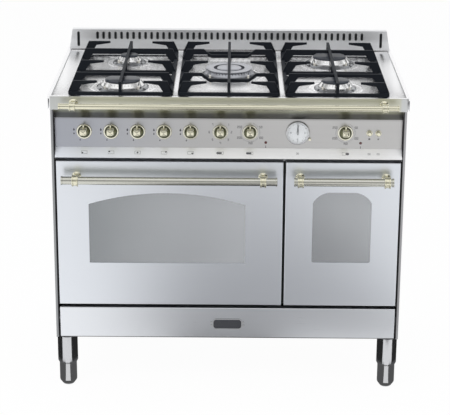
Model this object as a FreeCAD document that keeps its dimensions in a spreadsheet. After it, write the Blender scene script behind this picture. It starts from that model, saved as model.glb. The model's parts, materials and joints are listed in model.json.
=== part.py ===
"""Freestanding range cooker, one metre wide: five gas burners over a large and a small oven.

The frame: X to the right, Y to the back, Z up, origin on the floor under the middle of the cooker.
Lengths are millimetres. The fascia is the front face of the hob, and most places along Y are
measured back from it.
"""
import FreeCAD, Part
import Sketcher
import math
import os
from types import SimpleNamespace
from FreeCAD import Placement, Rotation, Vector

# Driving dimensions

SIZES = {
    # outer case
    "hob_width": 1000,
    "hob_depth": 630,
    "hob_height": 876,          # floor to the top of the hob's rim
    "fascia_height": 38,        # front band of the hob
    "fascia_corner": 10,
    "sheet": 1.5,               # steel sheet of the case
    "body_width": 988,
    "leg_height": 155,          # floor to the underside of the case
    "pipe_space": 25,           # case set in from the hob's back edge
    "side_setback": 14,         # side panels' front edge behind the fascia
    "side_flange": 8.5,
    # hob
    "rim_width": 10,
    "rim_drop": 6,
    # upstand
    "upstand_height": 60,
    "upstand_end_inset": 4,     # hob's side to the foot of the upstand's end
    "upstand_end_lean": 10,     # how far an end leans in over its height
    "upstand_depth": 25,
    "slot_width": 8,
    "slot_height": 23,
    "slot_pitch": 18.6,
    "slot_count": 45,
    "slot_top": 7,              # upstand's top edge down to the slots
    "end_slot_inset": 28,
    "end_slot_height": 46,
    # gallery rail
    "rail_radius": 9.5,
    "rail_standoff": 37.5,      # rail axis ahead of the fascia
    "rail_drop": 19,            # hob's rim down to the rail axis
    "rail_length": 934,
    "rail_bracket_span": 856,
    "bracket_width": 17,
    "bracket_wall": 3.5,
    "bracket_lip_width": 4,
    "bracket_lip_rise": 2,
    "post_radius": 7,
    "rosette_radius": 13,
    "rosette_depth": 5,
    # control panel
    "panel_width": 969,
    "panel_setback": 33,        # upright face behind the fascia
    "panel_top": 807,
    "panel_bottom": 723,
    "lip_bottom": 698,
    "lip_setback": 10,
    "knob_height": 768,
    # knobs
    "bezel_radius": 22,
    "bezel_bore_radius": 18.5,
    "bezel_depth": 4,
    "knob_skirt_radius": 17,
    "knob_skirt_depth": 9,
    "knob_gap": 0.6,            # knob's back to the panel
    "knob_reach": 42,           # knob's front to the panel
    "knob_grip_radius": 11,
    "pointer_reach": 24,
    "pointer_radius": 2.5,
    "knob_edge": 1.6,
    "spindle_radius": 3,
    "spindle_clear": 0.05,
    "spindle_hole_radius": 5,
    "spindle_socket": 22,
    "spindle_back": 30,
    "tap_width": 32,
    "tap_height": 44,
    "tap_depth": 46,
    "tap_gap": 8,               # panel's back to the tap
    "manifold_radius": 9,
    "switch_radius": 24,
    "switch_depth": 28,
    # places across the panel, from the middle
    "knob_1_x": -403,
    "knob_2_x": -328,
    "knob_3_x": -254,
    "knob_4_x": -180,
    "knob_5_x": -106,
    "knob_6_x": -23,
    "knob_7_x": 60,
    "knob_8_x": 326,
    "clock_x": 193,
    "lamp_1_x": 104,
    "lamp_2_x": 369,
    "button_1_x": 393,
    "button_2_x": 418,
    # clock
    "clock_radius": 34,
    "clock_bezel": 3,
    "clock_reach": 7,
    "clock_depth": 22,
    "dial_thickness": 1,
    "dial_inset": 5,            # dial's face behind the bezel's front
    "glass_thickness": 1,
    "post_pin_radius": 1.2,
    "hand_thickness": 0.5,
    "hand_hub_radius": 3,
    "hour_hand_length": 17,
    "minute_hand_length": 25,
    "hand_width": 2.4,
    "hand_gap": 0.4,
    "setter_x": 33.5,
    "setter_drop": 18,
    "setter_radius": 3.5,
    "setter_reach": 9,
    # lamps and buttons
    "lamp_drop": 29,
    "lamp_radius": 4,
    "lamp_reach": 1.6,
    "lamp_depth": 14,
    "button_radius": 6.5,
    "button_reach": 13,
    "button_collar_radius": 9,
    "button_collar_depth": 3,
    "button_clear": 0.3,
    "button_depth": 10,
    "button_flange": 1.5,
    # doors
    "door_setback": 10,         # door fronts behind the fascia
    "door_group_width": 964,
    "door_gap": 7,
    "small_door_width": 321,
    "door_top": 687.5,
    "door_bottom": 259.5,
    "door_depth": 38,
    "door_skin": 2,
    "door_corner": 2,
    "pane_thickness": 4,
    "pane_overlap": 15,
    "seal_gap": 3,              # shut door's back to the front frame
    "window_width": 442,
    "window_bottom": 386.5,
    "window_side_top": 562,
    "window_rise": 33.5,
    "window_inset": 89,         # main door's left edge to its window
    "small_window_width": 166,
    "small_window_bottom": 391.5,
    "small_window_side_top": 569,
    "small_window_rise": 31.5,
    "small_window_crown": 74,
    "small_window_corner": 5,
    # handles
    "bar_radius": 11.5,
    "bar_standoff": 45,         # bar axis ahead of the door
    "bar_drop": 43,             # door's top edge down to the bar axis
    "main_bar_length": 602,
    "main_bracket_span": 522,
    "small_bar_length": 279,
    "small_bracket_span": 241,
    "bar_cap": 5,
    "bar_cap_rise": 1.2,
    "fit_clear": 0.05,
    # door hinges
    "pivot_setback": 12,        # pivot axis behind the door's front
    "pivot_rise": 6,            # pivot axis above the door's lower edge
    "pin_radius": 3,
    "ear_thickness": 4,
    "ear_half": 5,
    "notch_width": 12,
    "hinge_inset": 45,
    "cheek_thickness": 4,
    # ovens
    "cavity_bottom": 296,
    "cavity_height": 345,
    "cavity_depth": 405,
    "main_cavity_width": 532,
    "small_cavity_width": 232,
    "cavity_wall": 1.5,
    "cavity_corner": 14,
    "frame_bottom": 253.5,
    "frame_top": 700,
    "seal_width": 9,
    "seal_depth": 2.5,
    "support_wire": 2.5,
    "support_levels": 5,
    "support_first": 50,
    "support_pitch": 55,
    "support_end": 25,
    "support_post": 2.2,
    "weld_sink": 0.5,
    "shelf_wire": 2.5,
    "shelf_bar": 3,
    "shelf_pitch": 26,
    "main_shelf_depth": 310,
    "small_shelf_depth": 350,
    "shelf_side_gap": 0.5,
    "shelf_back_gap": 12,
    "shelf_rest_gap": 0.3,
    "shelf_level": 1,           # rungs up from the lowest one
    "element_radius": 3.2,
    "element_bend": 22,
    "element_inset": 38,
    "element_drop": 22,
    "element_reach": 330,
    # fan
    "fan_radius": 68,
    "fan_depth": 24,
    "fan_blades": 8,
    "fan_blade_thickness": 1.5,
    "fan_disc": 1.5,
    "fan_hub_radius": 12,
    "fan_shaft_radius": 4,
    "fan_wall_gap": 12,
    "baffle_gap": 8,
    "baffle_width": 250,
    "baffle_height": 220,
    "baffle_slot_width": 5,
    "baffle_slot_inner": 18,
    "baffle_slot_outer": 58,
    "motor_radius": 36,
    "motor_depth": 60,
    # drawer
    "drawer_bottom": 157.5,
    "drawer_top": 250,
    "drawer_front_depth": 20,
    "drawer_box_depth": 450,
    "drawer_box_height": 66,
    "drawer_box_rise": 14,
    "runner_height": 24,
    "runner_width": 12,
    "runner_gap": 0.5,
    "runner_rise": 28,
    # nameplate
    "plate_width": 80,
    "plate_height": 27,
    "plate_corner": 8,
    "plate_frame": 3,
    "plate_depth": 2,
    "plate_height_z": 201,
    "plate_ear": 9,
    # legs
    "leg_inset_x": 35,          # hob's side edge to the leg axis
    "leg_inset_front": 40,
    "leg_inset_back": 60,
    "sleeve_radius": 29,
    "sleeve_wall": 3.6,
    "sleeve_bottom": 70,
    "sleeve_lip": 3,
    "foot_radius": 25,
    "foot_base_radius": 15,
    "foot_round": 14,
    "foot_top": 130,
    "foot_stem_radius": 8,
    "stop_gap": 0.3,
    # gas inlet
    "inlet_radius": 10.48,
    "inlet_length": 22,         # back panel to the end of the thread
    "inlet_flange_radius": 15,
    "inlet_flange": 4,
    "inlet_x": 440,
    "inlet_height": 820,
    # back panel
    "vent_width": 60,
    "vent_height": 5,
    "vent_pitch": 12,
    "vent_count": 10,
    "vent_x": 300,
    "vent_bottom": 640,
    # pan supports
    "grate_rise": 36,           # hob's rim to the top of the pan supports
    "grate_bar": 8,
    "grate_bar_height": 9,
    "grate_rail": 10,
    "grate_rail_height": 9,
    "grate_pad": 3,
    "grate_pad_radius": 6,
    "grate_corner": 12,
    "grate_front": 25,          # fascia to the front rail
    "grate_depth": 526,
    "grate_outer": 445,
    "grate_inner": 156.5,
    "grate_centre": 141.5,
    "grate_lean": 14,           # leg's outer edge leans in by this on its way up
    "grate_leg": 20,            # width of a leg on the rail
    "grate_gusset": 20,
    "finger_length": 80,
    "finger_tip": 5,
    "finger_knee": 38,          # grate's side to the bend under a finger
    "finger_root": 11,          # a finger's height at the bend
    "front_finger_setback": 13, # grate's front edge to the front fingers' middle
    "dip_depth": 17,
    "dip_half": 55,
    "dip_slope": 22,
    "front_burner_y": 138,      # fascia to the front burners
    "middle_burner_y": 288,
    "rear_burner_y": 444,
    "side_burner_x": 300.75,
    # burners
    "cup_bore": 21,
    "cup_tube": 26,
    "cup_hole_clear": 0.5,
    "cup_depth": 45,
    "cup_height": 5,
    "cup_lip": 3,
    "crown_seat": 3.5,
    "crown_wall": 3,
    "crown_clear": 0.4,
    "crown_height": 15,
    "crown_base": 4,
    "crown_taper": 9,
    "cap_height": 6,
    "cap_edge": 3,
    "port_width": 1.6,
    "port_height": 6,
    "rapid_cup": 73.5,
    "rapid_crown": 61.5,
    "rapid_cap": 50,
    "medium_cup": 60,
    "medium_crown": 48,
    "medium_cap": 40,
    "small_cup": 49.5,
    "small_crown": 37,
    "small_cap": 28,
    "wok_cup": 82,
    "wok_crown": 72.5,
    "wok_cap": 68,
    "wok_ring_bore": 45,
    "wok_inner_crown": 37,
    "wok_inner_cap": 36,
    "plug_radius": 3,
    "plug_tip_radius": 1.2,
    "plug_gap": 5,
    "plug_height": 17,
    "plug_body": 9,
}

doc = FreeCAD.newDocument("RangeCooker")
sheet = doc.addObject("Spreadsheet::Sheet", "Sizes")


class Size:
    """A length that knows both its number and its formula in the sheet."""

    def __init__(self, number, formula):
        self.number = number
        self.formula = formula

    def join(self, other, sign, number, flip=False):
        pair = (self.formula, formula_of(other))
        if flip:
            pair = pair[::-1]
        return Size(number, "({} {} {})".format(pair[0], sign, pair[1]))

    def __add__(self, other):
        return self.join(other, "+", self.number + number_of(other))

    def __radd__(self, other):
        return self.join(other, "+", number_of(other) + self.number, flip=True)

    def __sub__(self, other):
        return self.join(other, "-", self.number - number_of(other))

    def __rsub__(self, other):
        return self.join(other, "-", number_of(other) - self.number, flip=True)

    def __mul__(self, other):
        return self.join(other, "*", self.number * number_of(other))

    def __rmul__(self, other):
        return self.join(other, "*", number_of(other) * self.number, flip=True)

    def __truediv__(self, other):
        return self.join(other, "/", self.number / number_of(other))

    def __neg__(self):
        return Size(-self.number, "(-1 * {})".format(self.formula))

    def __float__(self):
        return float(self.number)


def number_of(length):
    return length.number if isinstance(length, Size) else float(length)


def formula_of(length):
    return length.formula if isinstance(length, Size) else "{:.12g}".format(length)


s = SimpleNamespace()
for row, (alias, number) in enumerate(SIZES.items(), start=1):
    sheet.set("A{}".format(row), alias)
    sheet.set("B{}".format(row), str(number))
    sheet.setAlias("B{}".format(row), alias)
    setattr(s, alias, Size(number, "Sizes." + alias))
doc.recompute()

# Levels and planes that many pieces share

half_hob = s.hob_width / 2
half_body = s.body_width / 2
front_reach = s.bar_standoff - s.door_setback + s.bar_radius + s.bracket_wall + s.bracket_lip_rise
front = (front_reach - s.hob_depth) / 2                             # fascia
back = front + s.hob_depth
body_back = back - s.pipe_space
door_front = front + s.door_setback
door_back = door_front + s.door_depth
frame_front = door_back + s.seal_gap
panel_face = front + s.panel_setback
lip_front = front + s.lip_setback
fascia_bottom = s.hob_height - s.fascia_height
pan = s.hob_height - s.rim_drop                                     # hob surface
pan_under = pan - s.sheet
frame_back = frame_front + s.sheet
cavity_top = s.cavity_bottom + s.cavity_height

# Small tools for drawing

AXIS_TURN = {
    "x": Rotation(Vector(0, 1, 0), 90),
    "y": Rotation(Vector(1, 0, 0), -90),
    "-y": Rotation(Vector(1, 0, 0), 90),
    "z": Rotation(),
}


def bind(item, prop, length):
    """Tie one property to the sheet; a plain number stays as it is."""
    item.setExpression(prop, formula_of(length))


def place(item, x=0, y=0, z=0, axis="z"):
    """Set an object on a point, with its own Z turned to the named axis."""
    item.Placement = Placement(Vector(number_of(x), number_of(y), number_of(z)), AXIS_TURN[axis])
    for name, length in zip("xyz", (x, y, z)):
        if isinstance(length, Size):
            bind(item, "Placement.Base." + name, length)
    return item


def box(label, x, y, z):
    """A block between (low, high) pairs."""
    item = doc.addObject("Part::Box", label)
    for prop, (low, high) in zip(("Length", "Width", "Height"), (x, y, z)):
        bind(item, prop, high - low)
    return place(item, x[0], y[0], z[0])


def rod(label, radius, length, x=0, y=0, z=0, axis="z"):
    """A cylinder from a point along an axis."""
    item = doc.addObject("Part::Cylinder", label)
    bind(item, "Radius", radius)
    bind(item, "Height", length)
    return place(item, x, y, z, axis)


def cut(label, base, *tools):
    item = doc.addObject("Part::Cut", label)
    item.Base = base
    item.Tool = tools[0] if len(tools) == 1 else group(label + "_tools", *tools)
    return item


def fuse(label, *pieces):
    item = doc.addObject("Part::MultiFuse", label)
    item.Shapes = list(pieces)
    item.Refine = True
    return item


def group(label, *pieces):
    item = doc.addObject("Part::Compound", label)
    item.Links = list(pieces)
    return item


def feature(label, shape):
    """A piece whose shape is worked out from the sheet's sizes."""
    item = doc.addObject("Part::Feature", label)
    item.Shape = shape
    return item


def ring(label, outer, inner, length, x=0, y=0, z=0, axis="z"):
    outside = rod(label + "_outside", outer, length, x, y, z, axis)
    inside = rod(label + "_inside", inner, length, x, y, z, axis)
    return cut(label, outside, inside)


# Outlines: a list of corners (u, v), or (u, v, radius) where an arc runs on to the next corner


def rectangle(u, v):
    return [(u[0], v[0]), (u[1], v[0]), (u[1], v[1]), (u[0], v[1])]


def rounded(u, v, r):
    """A rectangle with round corners, drawn against the clock."""
    return [
        (u[0] + r, v[0]), (u[1] - r, v[0], r),
        (u[1], v[0] + r), (u[1], v[1] - r, r),
        (u[1] - r, v[1]), (u[0] + r, v[1], r),
        (u[0], v[1] - r), (u[0], v[0] + r, r),
    ]


def flat(point):
    return Vector(number_of(point[0]), number_of(point[1]), 0)


def arc_middle(start, end, radius):
    """The middle of a minor arc that bulges to the right of the way from start to end."""
    chord = end - start
    half = chord.Length / 2
    rise = radius - math.sqrt(max(radius * radius - half * half, 0))
    side = Vector(chord.y, -chord.x, 0).normalize()
    return (start + end) / 2 + side * rise


def draw(sketch, corners):
    """Draw a closed outline and tie each corner and radius to the sheet."""
    count = len(corners)
    numbers = []
    for index, corner in enumerate(corners):
        start = flat(corner)
        end = flat(corners[(index + 1) % count])
        if len(corner) == 3:
            middle = arc_middle(start, end, number_of(corner[2]))
            line = Part.Arc(start, middle, end)
        else:
            line = Part.LineSegment(start, end)
        numbers.append(sketch.addGeometry(line, False))
    ends = []
    for index, corner in enumerate(corners):
        first = sketch.getPoint(numbers[index], 1)
        after = flat(corners[(index + 1) % count])
        ends.append((1, 2) if (first - flat(corner)).Length < (first - after).Length else (2, 1))
    for index, corner in enumerate(corners):
        after = (index + 1) % count
        sketch.addConstraint(Sketcher.Constraint(
            "Coincident", numbers[index], ends[index][1], numbers[after], ends[after][0]))
        for kind, length in (("DistanceX", corner[0]), ("DistanceY", corner[1])):
            if isinstance(length, Size):
                name = "{}_{}_{}".format(kind[-1].lower(), numbers[index], len(sketch.Constraints))
                sketch.addConstraint(Sketcher.Constraint(
                    kind, -1, 1, numbers[index], ends[index][0], length.number))
                sketch.renameConstraint(len(sketch.Constraints) - 1, name)
                sketch.setExpression("Constraints." + name, length.formula)
            else:
                line = -2 if kind == "DistanceX" else -1
                sketch.addConstraint(Sketcher.Constraint(
                    "PointOnObject", numbers[index], ends[index][0], line))
        if len(corner) == 3:
            name = "r_{}_{}".format(numbers[index], len(sketch.Constraints))
            sketch.addConstraint(Sketcher.Constraint("Radius", numbers[index], number_of(corner[2])))
            sketch.renameConstraint(len(sketch.Constraints) - 1, name)
            sketch.setExpression("Constraints." + name, formula_of(corner[2]))


def draw_circle(sketch, u, v, radius):
    number = sketch.addGeometry(Part.Circle(flat((u, v)), Vector(0, 0, 1), number_of(radius)), False)
    for kind, length in (("DistanceX", u), ("DistanceY", v)):
        if isinstance(length, Size):
            name = "c_{}_{}".format(number, len(sketch.Constraints))
            sketch.addConstraint(Sketcher.Constraint(kind, -1, 1, number, 3, length.number))
            sketch.renameConstraint(len(sketch.Constraints) - 1, name)
            sketch.setExpression("Constraints." + name, length.formula)
        else:
            line = -2 if kind == "DistanceX" else -1
            sketch.addConstraint(Sketcher.Constraint("PointOnObject", number, 3, line))
    name = "d_{}_{}".format(number, len(sketch.Constraints))
    sketch.addConstraint(Sketcher.Constraint("Radius", number, number_of(radius)))
    sketch.renameConstraint(len(sketch.Constraints) - 1, name)
    sketch.setExpression("Constraints." + name, formula_of(radius))


PLANE_ROLE = {"xy": "XY_Plane", "xz": "XZ_Plane", "yz": "YZ_Plane"}


def body(label):
    return doc.addObject("PartDesign::Body", label)


def sketch_on(owner, plane, offset, outlines):
    """A sketch on one of the body's own planes: a circle is (u, v, radius), alone in a tuple."""
    role = PLANE_ROLE[plane]
    origin_plane = [item for item in owner.Origin.OriginFeatures if item.Role == role][0]
    sketch = owner.newObject("Sketcher::SketchObject", owner.Name + "_sketch")
    sketch.AttachmentSupport = [(origin_plane, "")]
    sketch.MapMode = "FlatFace"
    if isinstance(offset, Size):
        bind(sketch, "AttachmentOffset.Base.z", offset)
    for outline in outlines:
        if isinstance(outline, tuple):
            draw_circle(sketch, *outline)
        else:
            draw(sketch, outline)
    return sketch


def reach(plane, low, high):
    """Where the plane's own normal meets the low end; the upright XZ plane looks to -Y."""
    return -high if plane == "xz" else low


def pad(owner, plane, low, high, *outlines):
    """Add material between low and high along the plane's axis."""
    item = owner.newObject("PartDesign::Pad", owner.Name + "_pad")
    item.Profile = sketch_on(owner, plane, reach(plane, low, high), outlines)
    bind(item, "Length", high - low)
    doc.recompute()
    return item


def pocket(owner, plane, low, high, *outlines):
    """Take material away between low and high, and make sure that some went."""
    before = owner.Shape.Volume
    far = -low if plane == "xz" else high
    sketch = sketch_on(owner, plane, far, outlines)
    item = owner.newObject("PartDesign::Pocket", owner.Name + "_pocket")
    item.Profile = sketch
    bind(item, "Length", high - low)
    doc.recompute()
    if owner.Shape.Volume >= before:
        raise RuntimeError("pocket cut nothing in " + owner.Label)
    return item


def turn(owner, outline):
    """Spin an outline of (radius, height) corners about the body's Z axis."""
    sketch = sketch_on(owner, "xz", 0, [outline])
    item = owner.newObject("PartDesign::Revolution", owner.Name + "_turn")
    item.Profile = sketch
    item.ReferenceAxis = (sketch, ["V_Axis"])
    item.Angle = 360
    doc.recompute()
    return item


def turned(label, outline, x=0, y=0, z=0, axis="z"):
    owner = body(label)
    turn(owner, outline)
    return place(owner, x, y, z, axis)


def round_edges(owner, last, radius, wanted):
    """Fillet the edges whose middle passes a test."""
    names = []
    for number, edge in enumerate(last.Shape.Edges, start=1):
        middle = edge.valueAt((edge.FirstParameter + edge.LastParameter) / 2)
        if wanted(edge, middle):
            names.append("Edge{}".format(number))
    item = owner.newObject("PartDesign::Fillet", owner.Name + "_fillet")
    item.Base = (last, names)
    bind(item, "Radius", radius)
    doc.recompute()
    return item


def upright(edge):
    ends = [vertex.Point for vertex in edge.Vertexes]
    if len(ends) < 2:
        return False
    way = ends[1] - ends[0]
    return abs(way.z) > (abs(way.x) + abs(way.y)) * number_of(s.hob_width)


def near(a, b):
    return abs(a - number_of(b)) < number_of(s.fit_clear)


def prism(label, plane, low, high, outline):
    """A straight block of any outline, as a body with one pad."""
    owner = body(label)
    pad(owner, plane, low, high, outline)
    return owner


def tube(label, points, radius, bend):
    """A round bar along straight runs joined by arcs."""
    spots = [Vector(*[number_of(c) for c in point]) for point in points]
    radius = number_of(radius)
    bend = number_of(bend)
    edges = []
    start = spots[0]
    for before, corner, after in zip(spots, spots[1:], spots[2:]):
        way_in = (before - corner).normalize()
        way_out = (after - corner).normalize()
        half_angle = math.acos(max(-1, min(1, way_in.dot(way_out)))) / 2
        setback = bend / math.tan(half_angle)
        first = corner + way_in * setback
        last = corner + way_out * setback
        bisector = (way_in + way_out).normalize()
        middle = corner + bisector * (bend / math.sin(half_angle) - bend)
        if (first - start).Length > radius / 100:
            edges.append(Part.LineSegment(start, first).toShape())
        edges.append(Part.Arc(first, middle, last).toShape())
        start = last
    edges.append(Part.LineSegment(start, spots[-1]).toShape())
    path = Part.Wire(edges)
    circle = Part.Circle(spots[0], (spots[1] - spots[0]).normalize(), radius).toShape()
    return feature(label, path.makePipeShell([Part.Wire([circle])], True, False))


nodes = []


def keep(item, label):
    """Mark a finished sub-part, which is written to its own file."""
    item.Label = label
    nodes.append(item)
    return item


# Hob: one pressed pan with a deep band all round


def make_hob_top():
    outer = body("hob_outer")
    block = pad(outer, "xy", fascia_bottom, s.hob_height, rectangle((-half_hob, half_hob), (front, back)))
    round_edges(outer, block, s.fascia_corner,
                lambda edge, middle: upright(edge) and near(middle.y, front))
    below = box("hob_below", (-half_hob + s.sheet, half_hob - s.sheet),
                (front + s.sheet, back - s.sheet), (fascia_bottom - s.sheet, pan_under))
    above = box("hob_recess", (-half_hob + s.rim_width, half_hob - s.rim_width),
                (front + s.rim_width, back - s.upstand_depth), (pan, s.hob_height + s.sheet))
    holes = [rod("hob_hole_{}".format(number), s.cup_tube + s.cup_hole_clear, s.rim_drop + s.sheet * 3,
                 x, y, pan_under - s.sheet)
             for number, (x, y) in enumerate(burner_places)]
    keep(cut("hob_cut", outer, below, above, *holes), "hob_top")


front_burner = front + s.front_burner_y
middle_burner = front + s.middle_burner_y
rear_burner = front + s.rear_burner_y
burner_places = [
    (-s.side_burner_x, front_burner),
    (-s.side_burner_x, rear_burner),
    (0, middle_burner),
    (s.side_burner_x, front_burner),
    (s.side_burner_x, rear_burner),
]


def make_backsplash():
    top = s.hob_height + s.upstand_height
    foot = half_hob - s.upstand_end_inset
    head = foot - s.upstand_end_lean
    shell = body("upstand")
    pad(shell, "xz", back - s.upstand_depth, back, [
        (-foot, s.hob_height), (foot, s.hob_height), (head, top), (-head, top)])
    pocket(shell, "xz", back - s.upstand_depth + s.sheet, back - s.sheet, [
        (-foot + s.sheet, s.hob_height), (foot - s.sheet, s.hob_height), (head - s.sheet, top - s.sheet),
        (s.sheet - head, top - s.sheet)])
    slot_high = top - s.slot_top
    slot_low = slot_high - s.slot_height
    first = -s.slot_pitch * (s.slot_count - 1) / 2
    row = pocket(shell, "xz", back - s.upstand_depth - s.sheet, back - s.upstand_depth + s.sheet * 2,
                 rounded((first - s.slot_width / 2, first + s.slot_width / 2), (slot_low, slot_high),
                         s.slot_width / 2 - s.fit_clear))
    pattern = shell.newObject("PartDesign::LinearPattern", "slot_row")
    pattern.Originals = [row]
    pattern.Direction = (row.Profile[0], ["H_Axis"])
    bind(pattern, "Length", s.slot_pitch * (s.slot_count - 1))
    bind(pattern, "Occurrences", s.slot_count)
    shell.Tip = pattern
    end_low = top - s.slot_top - s.end_slot_height
    for side in (-1, 1):
        middle = side * (half_hob - s.end_slot_inset - s.slot_width / 2)
        pocket(shell, "xz", back - s.upstand_depth - s.sheet, back - s.upstand_depth + s.sheet * 2,
               rounded((middle - s.slot_width / 2, middle + s.slot_width / 2),
                       (end_low, end_low + s.end_slot_height), s.slot_width / 2 - s.fit_clear))
    keep(shell, "backsplash")


# Case


def make_side_panels():
    sides = []
    low = front + s.side_setback
    for side, name in ((-1, "left"), (1, "right")):
        edge = side * half_body
        inner = edge - side * s.sheet
        lip = edge - side * s.side_flange
        outline = [(edge, low), (edge, body_back), (inner, body_back), (inner, low + s.sheet),
                   (lip, low + s.sheet), (lip, low)]
        if side > 0:
            outline = outline[::-1]
        sides.append(prism("side_" + name, "xy", s.leg_height, fascia_bottom, outline))
        upper = [(edge, front + s.rim_width), (edge, body_back),
                 (inner, body_back), (inner, front + s.rim_width)]
        if side > 0:
            upper = upper[::-1]
        pad(sides[-1], "xy", fascia_bottom, pan_under, upper)
    keep(group("sides", *sides), "side_panels")


def make_back_panel():
    inside = half_body - s.sheet
    panel = body("back")
    pad(panel, "xz", body_back - s.sheet, body_back,
        rectangle((-inside, inside), (s.leg_height, pan_under)))
    for side in (-1, 1):
        x = side * s.vent_x
        row = pocket(panel, "xz", body_back - s.sheet * 2, body_back + s.sheet,
                     rectangle((x - s.vent_width / 2, x + s.vent_width / 2),
                               (s.vent_bottom, s.vent_bottom + s.vent_height)))
        pattern = panel.newObject("PartDesign::LinearPattern", "vent_row")
        pattern.Originals = [row]
        pattern.Direction = (row.Profile[0], ["V_Axis"])
        bind(pattern, "Length", s.vent_pitch * (s.vent_count - 1))
        bind(pattern, "Occurrences", s.vent_count)
        panel.Tip = pattern
    pocket(panel, "xz", body_back - s.sheet * 2, body_back + s.sheet,
           (s.inlet_x, s.inlet_height, s.manifold_radius + s.fit_clear))
    keep(panel, "back_panel")


leg_places = [
    ("front_left", -half_hob + s.leg_inset_x, front + s.leg_inset_front),
    ("front_right", half_hob - s.leg_inset_x, front + s.leg_inset_front),
    ("rear_left", -half_hob + s.leg_inset_x, back - s.leg_inset_back),
    ("rear_right", half_hob - s.leg_inset_x, back - s.leg_inset_back),
]
drawer_box_half = s.door_group_width / 2 - s.runner_width * 2 - s.runner_gap


def make_base_frame():
    inside = half_body - s.sheet
    floor = box("base_pan", (-inside, inside), (door_front + s.drawer_front_depth, body_back - s.sheet),
                (s.leg_height, s.leg_height + s.sheet))
    shelf = box("drawer_shelf", (-inside, inside), (frame_front, body_back - s.sheet),
                (s.frame_bottom - s.sheet, s.frame_bottom))
    pieces = [floor, shelf]
    bore = s.sleeve_radius - s.sleeve_wall
    for name, x, y in leg_places:
        pieces.append(turned("sleeve_" + name, [
            (bore, s.sleeve_bottom), (s.sleeve_radius - s.sleeve_lip, s.sleeve_bottom),
            (s.sleeve_radius, s.sleeve_bottom + s.sleeve_lip * 2),
            (s.sleeve_radius, s.leg_height), (bore, s.leg_height)], x, y))
    runner_low = s.drawer_bottom + s.runner_rise
    for side, name in ((-1, "left"), (1, "right")):
        outer = side * inside
        inner = side * (drawer_box_half + s.runner_width + s.runner_gap)
        pieces.append(box("fixed_runner_" + name, (outer, inner) if side < 0 else (inner, outer),
                          (frame_front, frame_front + s.drawer_box_depth * 9 / 10),
                          (runner_low, runner_low + s.runner_height)))
    keep(group("base", *pieces), "base_frame")


# Ovens

main_door_x = (-s.door_group_width / 2, s.door_group_width / 2 - s.small_door_width - s.door_gap)
small_door_x = (s.door_group_width / 2 - s.small_door_width, s.door_group_width / 2)
main_middle = (main_door_x[0] + main_door_x[1]) / 2
small_middle = (small_door_x[0] + small_door_x[1]) / 2
pivot_y = door_front + s.pivot_setback
pivot_z = s.door_bottom + s.pivot_rise


def hinge_places(door_x):
    return (door_x[0] + s.hinge_inset, door_x[1] - s.hinge_inset)


def cavity_box(middle, width, grow):
    """Outline of an oven mouth, grown by a wall."""
    half = width / 2 + grow
    return rounded((middle - half, middle + half),
                   (s.cavity_bottom - grow, cavity_top + grow), s.cavity_corner + grow)


def make_front_frame():
    inside = half_body - s.sheet
    plate = body("frame_plate")
    pad(plate, "xz", frame_front, frame_back, rectangle((-inside, inside), (s.frame_bottom, s.frame_top)))
    for middle, width in ((main_middle, s.main_cavity_width), (small_middle, s.small_cavity_width)):
        pocket(plate, "xz", frame_front - s.sheet, frame_back + s.sheet,
               cavity_box(middle, width, s.cavity_wall))
    pieces = [plate]
    for name, door_x in (("main", main_door_x), ("small", small_door_x)):
        for number, x in enumerate(hinge_places(door_x)):
            ear = body("ear_{}_{}".format(name, number))
            low = pivot_z - s.ear_half
            high = pivot_z + s.ear_half
            pad(ear, "yz", x - s.ear_thickness / 2, x + s.ear_thickness / 2, ear_outline(low, high))
            pocket(ear, "yz", x - s.ear_thickness, x + s.ear_thickness,
                   (pivot_y, pivot_z, s.pin_radius + s.spindle_clear))
            pieces.append(ear)
    for name, middle, width in (("main", main_middle, s.main_cavity_width),
                                ("small", small_middle, s.small_cavity_width)):
        seal = body("seal_" + name)
        pad(seal, "xz", frame_front - s.seal_depth, frame_front,
            cavity_box(middle, width, s.cavity_wall + s.seal_width))
        pocket(seal, "xz", frame_front - s.seal_depth * 2, frame_front + s.sheet,
               cavity_box(middle, width, s.cavity_wall))
        pieces.append(seal)
    keep(group("frame", *pieces), "front_frame")


def ear_outline(low, high):
    """A hinge ear: round about the pivot, straight to the frame, against the clock."""
    return [(pivot_y, high, s.ear_half), (pivot_y - s.ear_half, pivot_z, s.ear_half),
            (pivot_y, low), (frame_front, low), (frame_front, high)]


def make_cavity(name, middle, width):
    shell = body("cavity_shell_" + name)
    far = frame_front + s.cavity_depth
    pad(shell, "xz", frame_front, far + s.cavity_wall, cavity_box(middle, width, s.cavity_wall))
    pocket(shell, "xz", frame_front - s.sheet, far, cavity_box(middle, width, 0))
    if name == "main":
        pocket(shell, "xz", far - s.cavity_wall, far + s.cavity_wall * 2,
               (middle, fan_z, s.fan_shaft_radius * 2))
    pieces = [shell]
    post_inset = s.fit_clear + s.support_post
    rung_inset = post_inset + s.support_post + s.support_wire - s.weld_sink
    for side, hand in ((-1, "left"), (1, "right")):
        rods = []
        for y in (frame_front + s.support_end, far - s.support_end):
            rods.append(rod("ladder_{}_{}".format(name, hand), s.support_post,
                            s.support_first + s.support_pitch * (s.support_levels - 1),
                            middle + side * (width / 2 - post_inset), y, s.cavity_bottom + s.fit_clear))
        for level in range(int(s.support_levels.number)):
            z = s.cavity_bottom + s.support_first + s.support_pitch * level
            rods.append(rod("rung_{}_{}".format(name, hand), s.support_wire,
                            s.cavity_depth - s.support_end * 2,
                            middle + side * (width / 2 - rung_inset), frame_front + s.support_end, z, "y"))
        pieces.append(fuse("support_{}_{}".format(name, hand), *rods))
    keep(group("cavity_" + name, *pieces), "oven_cavity_" + name)


fan_z = s.cavity_bottom + s.cavity_height / 2
cavity_far = frame_front + s.cavity_depth


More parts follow.
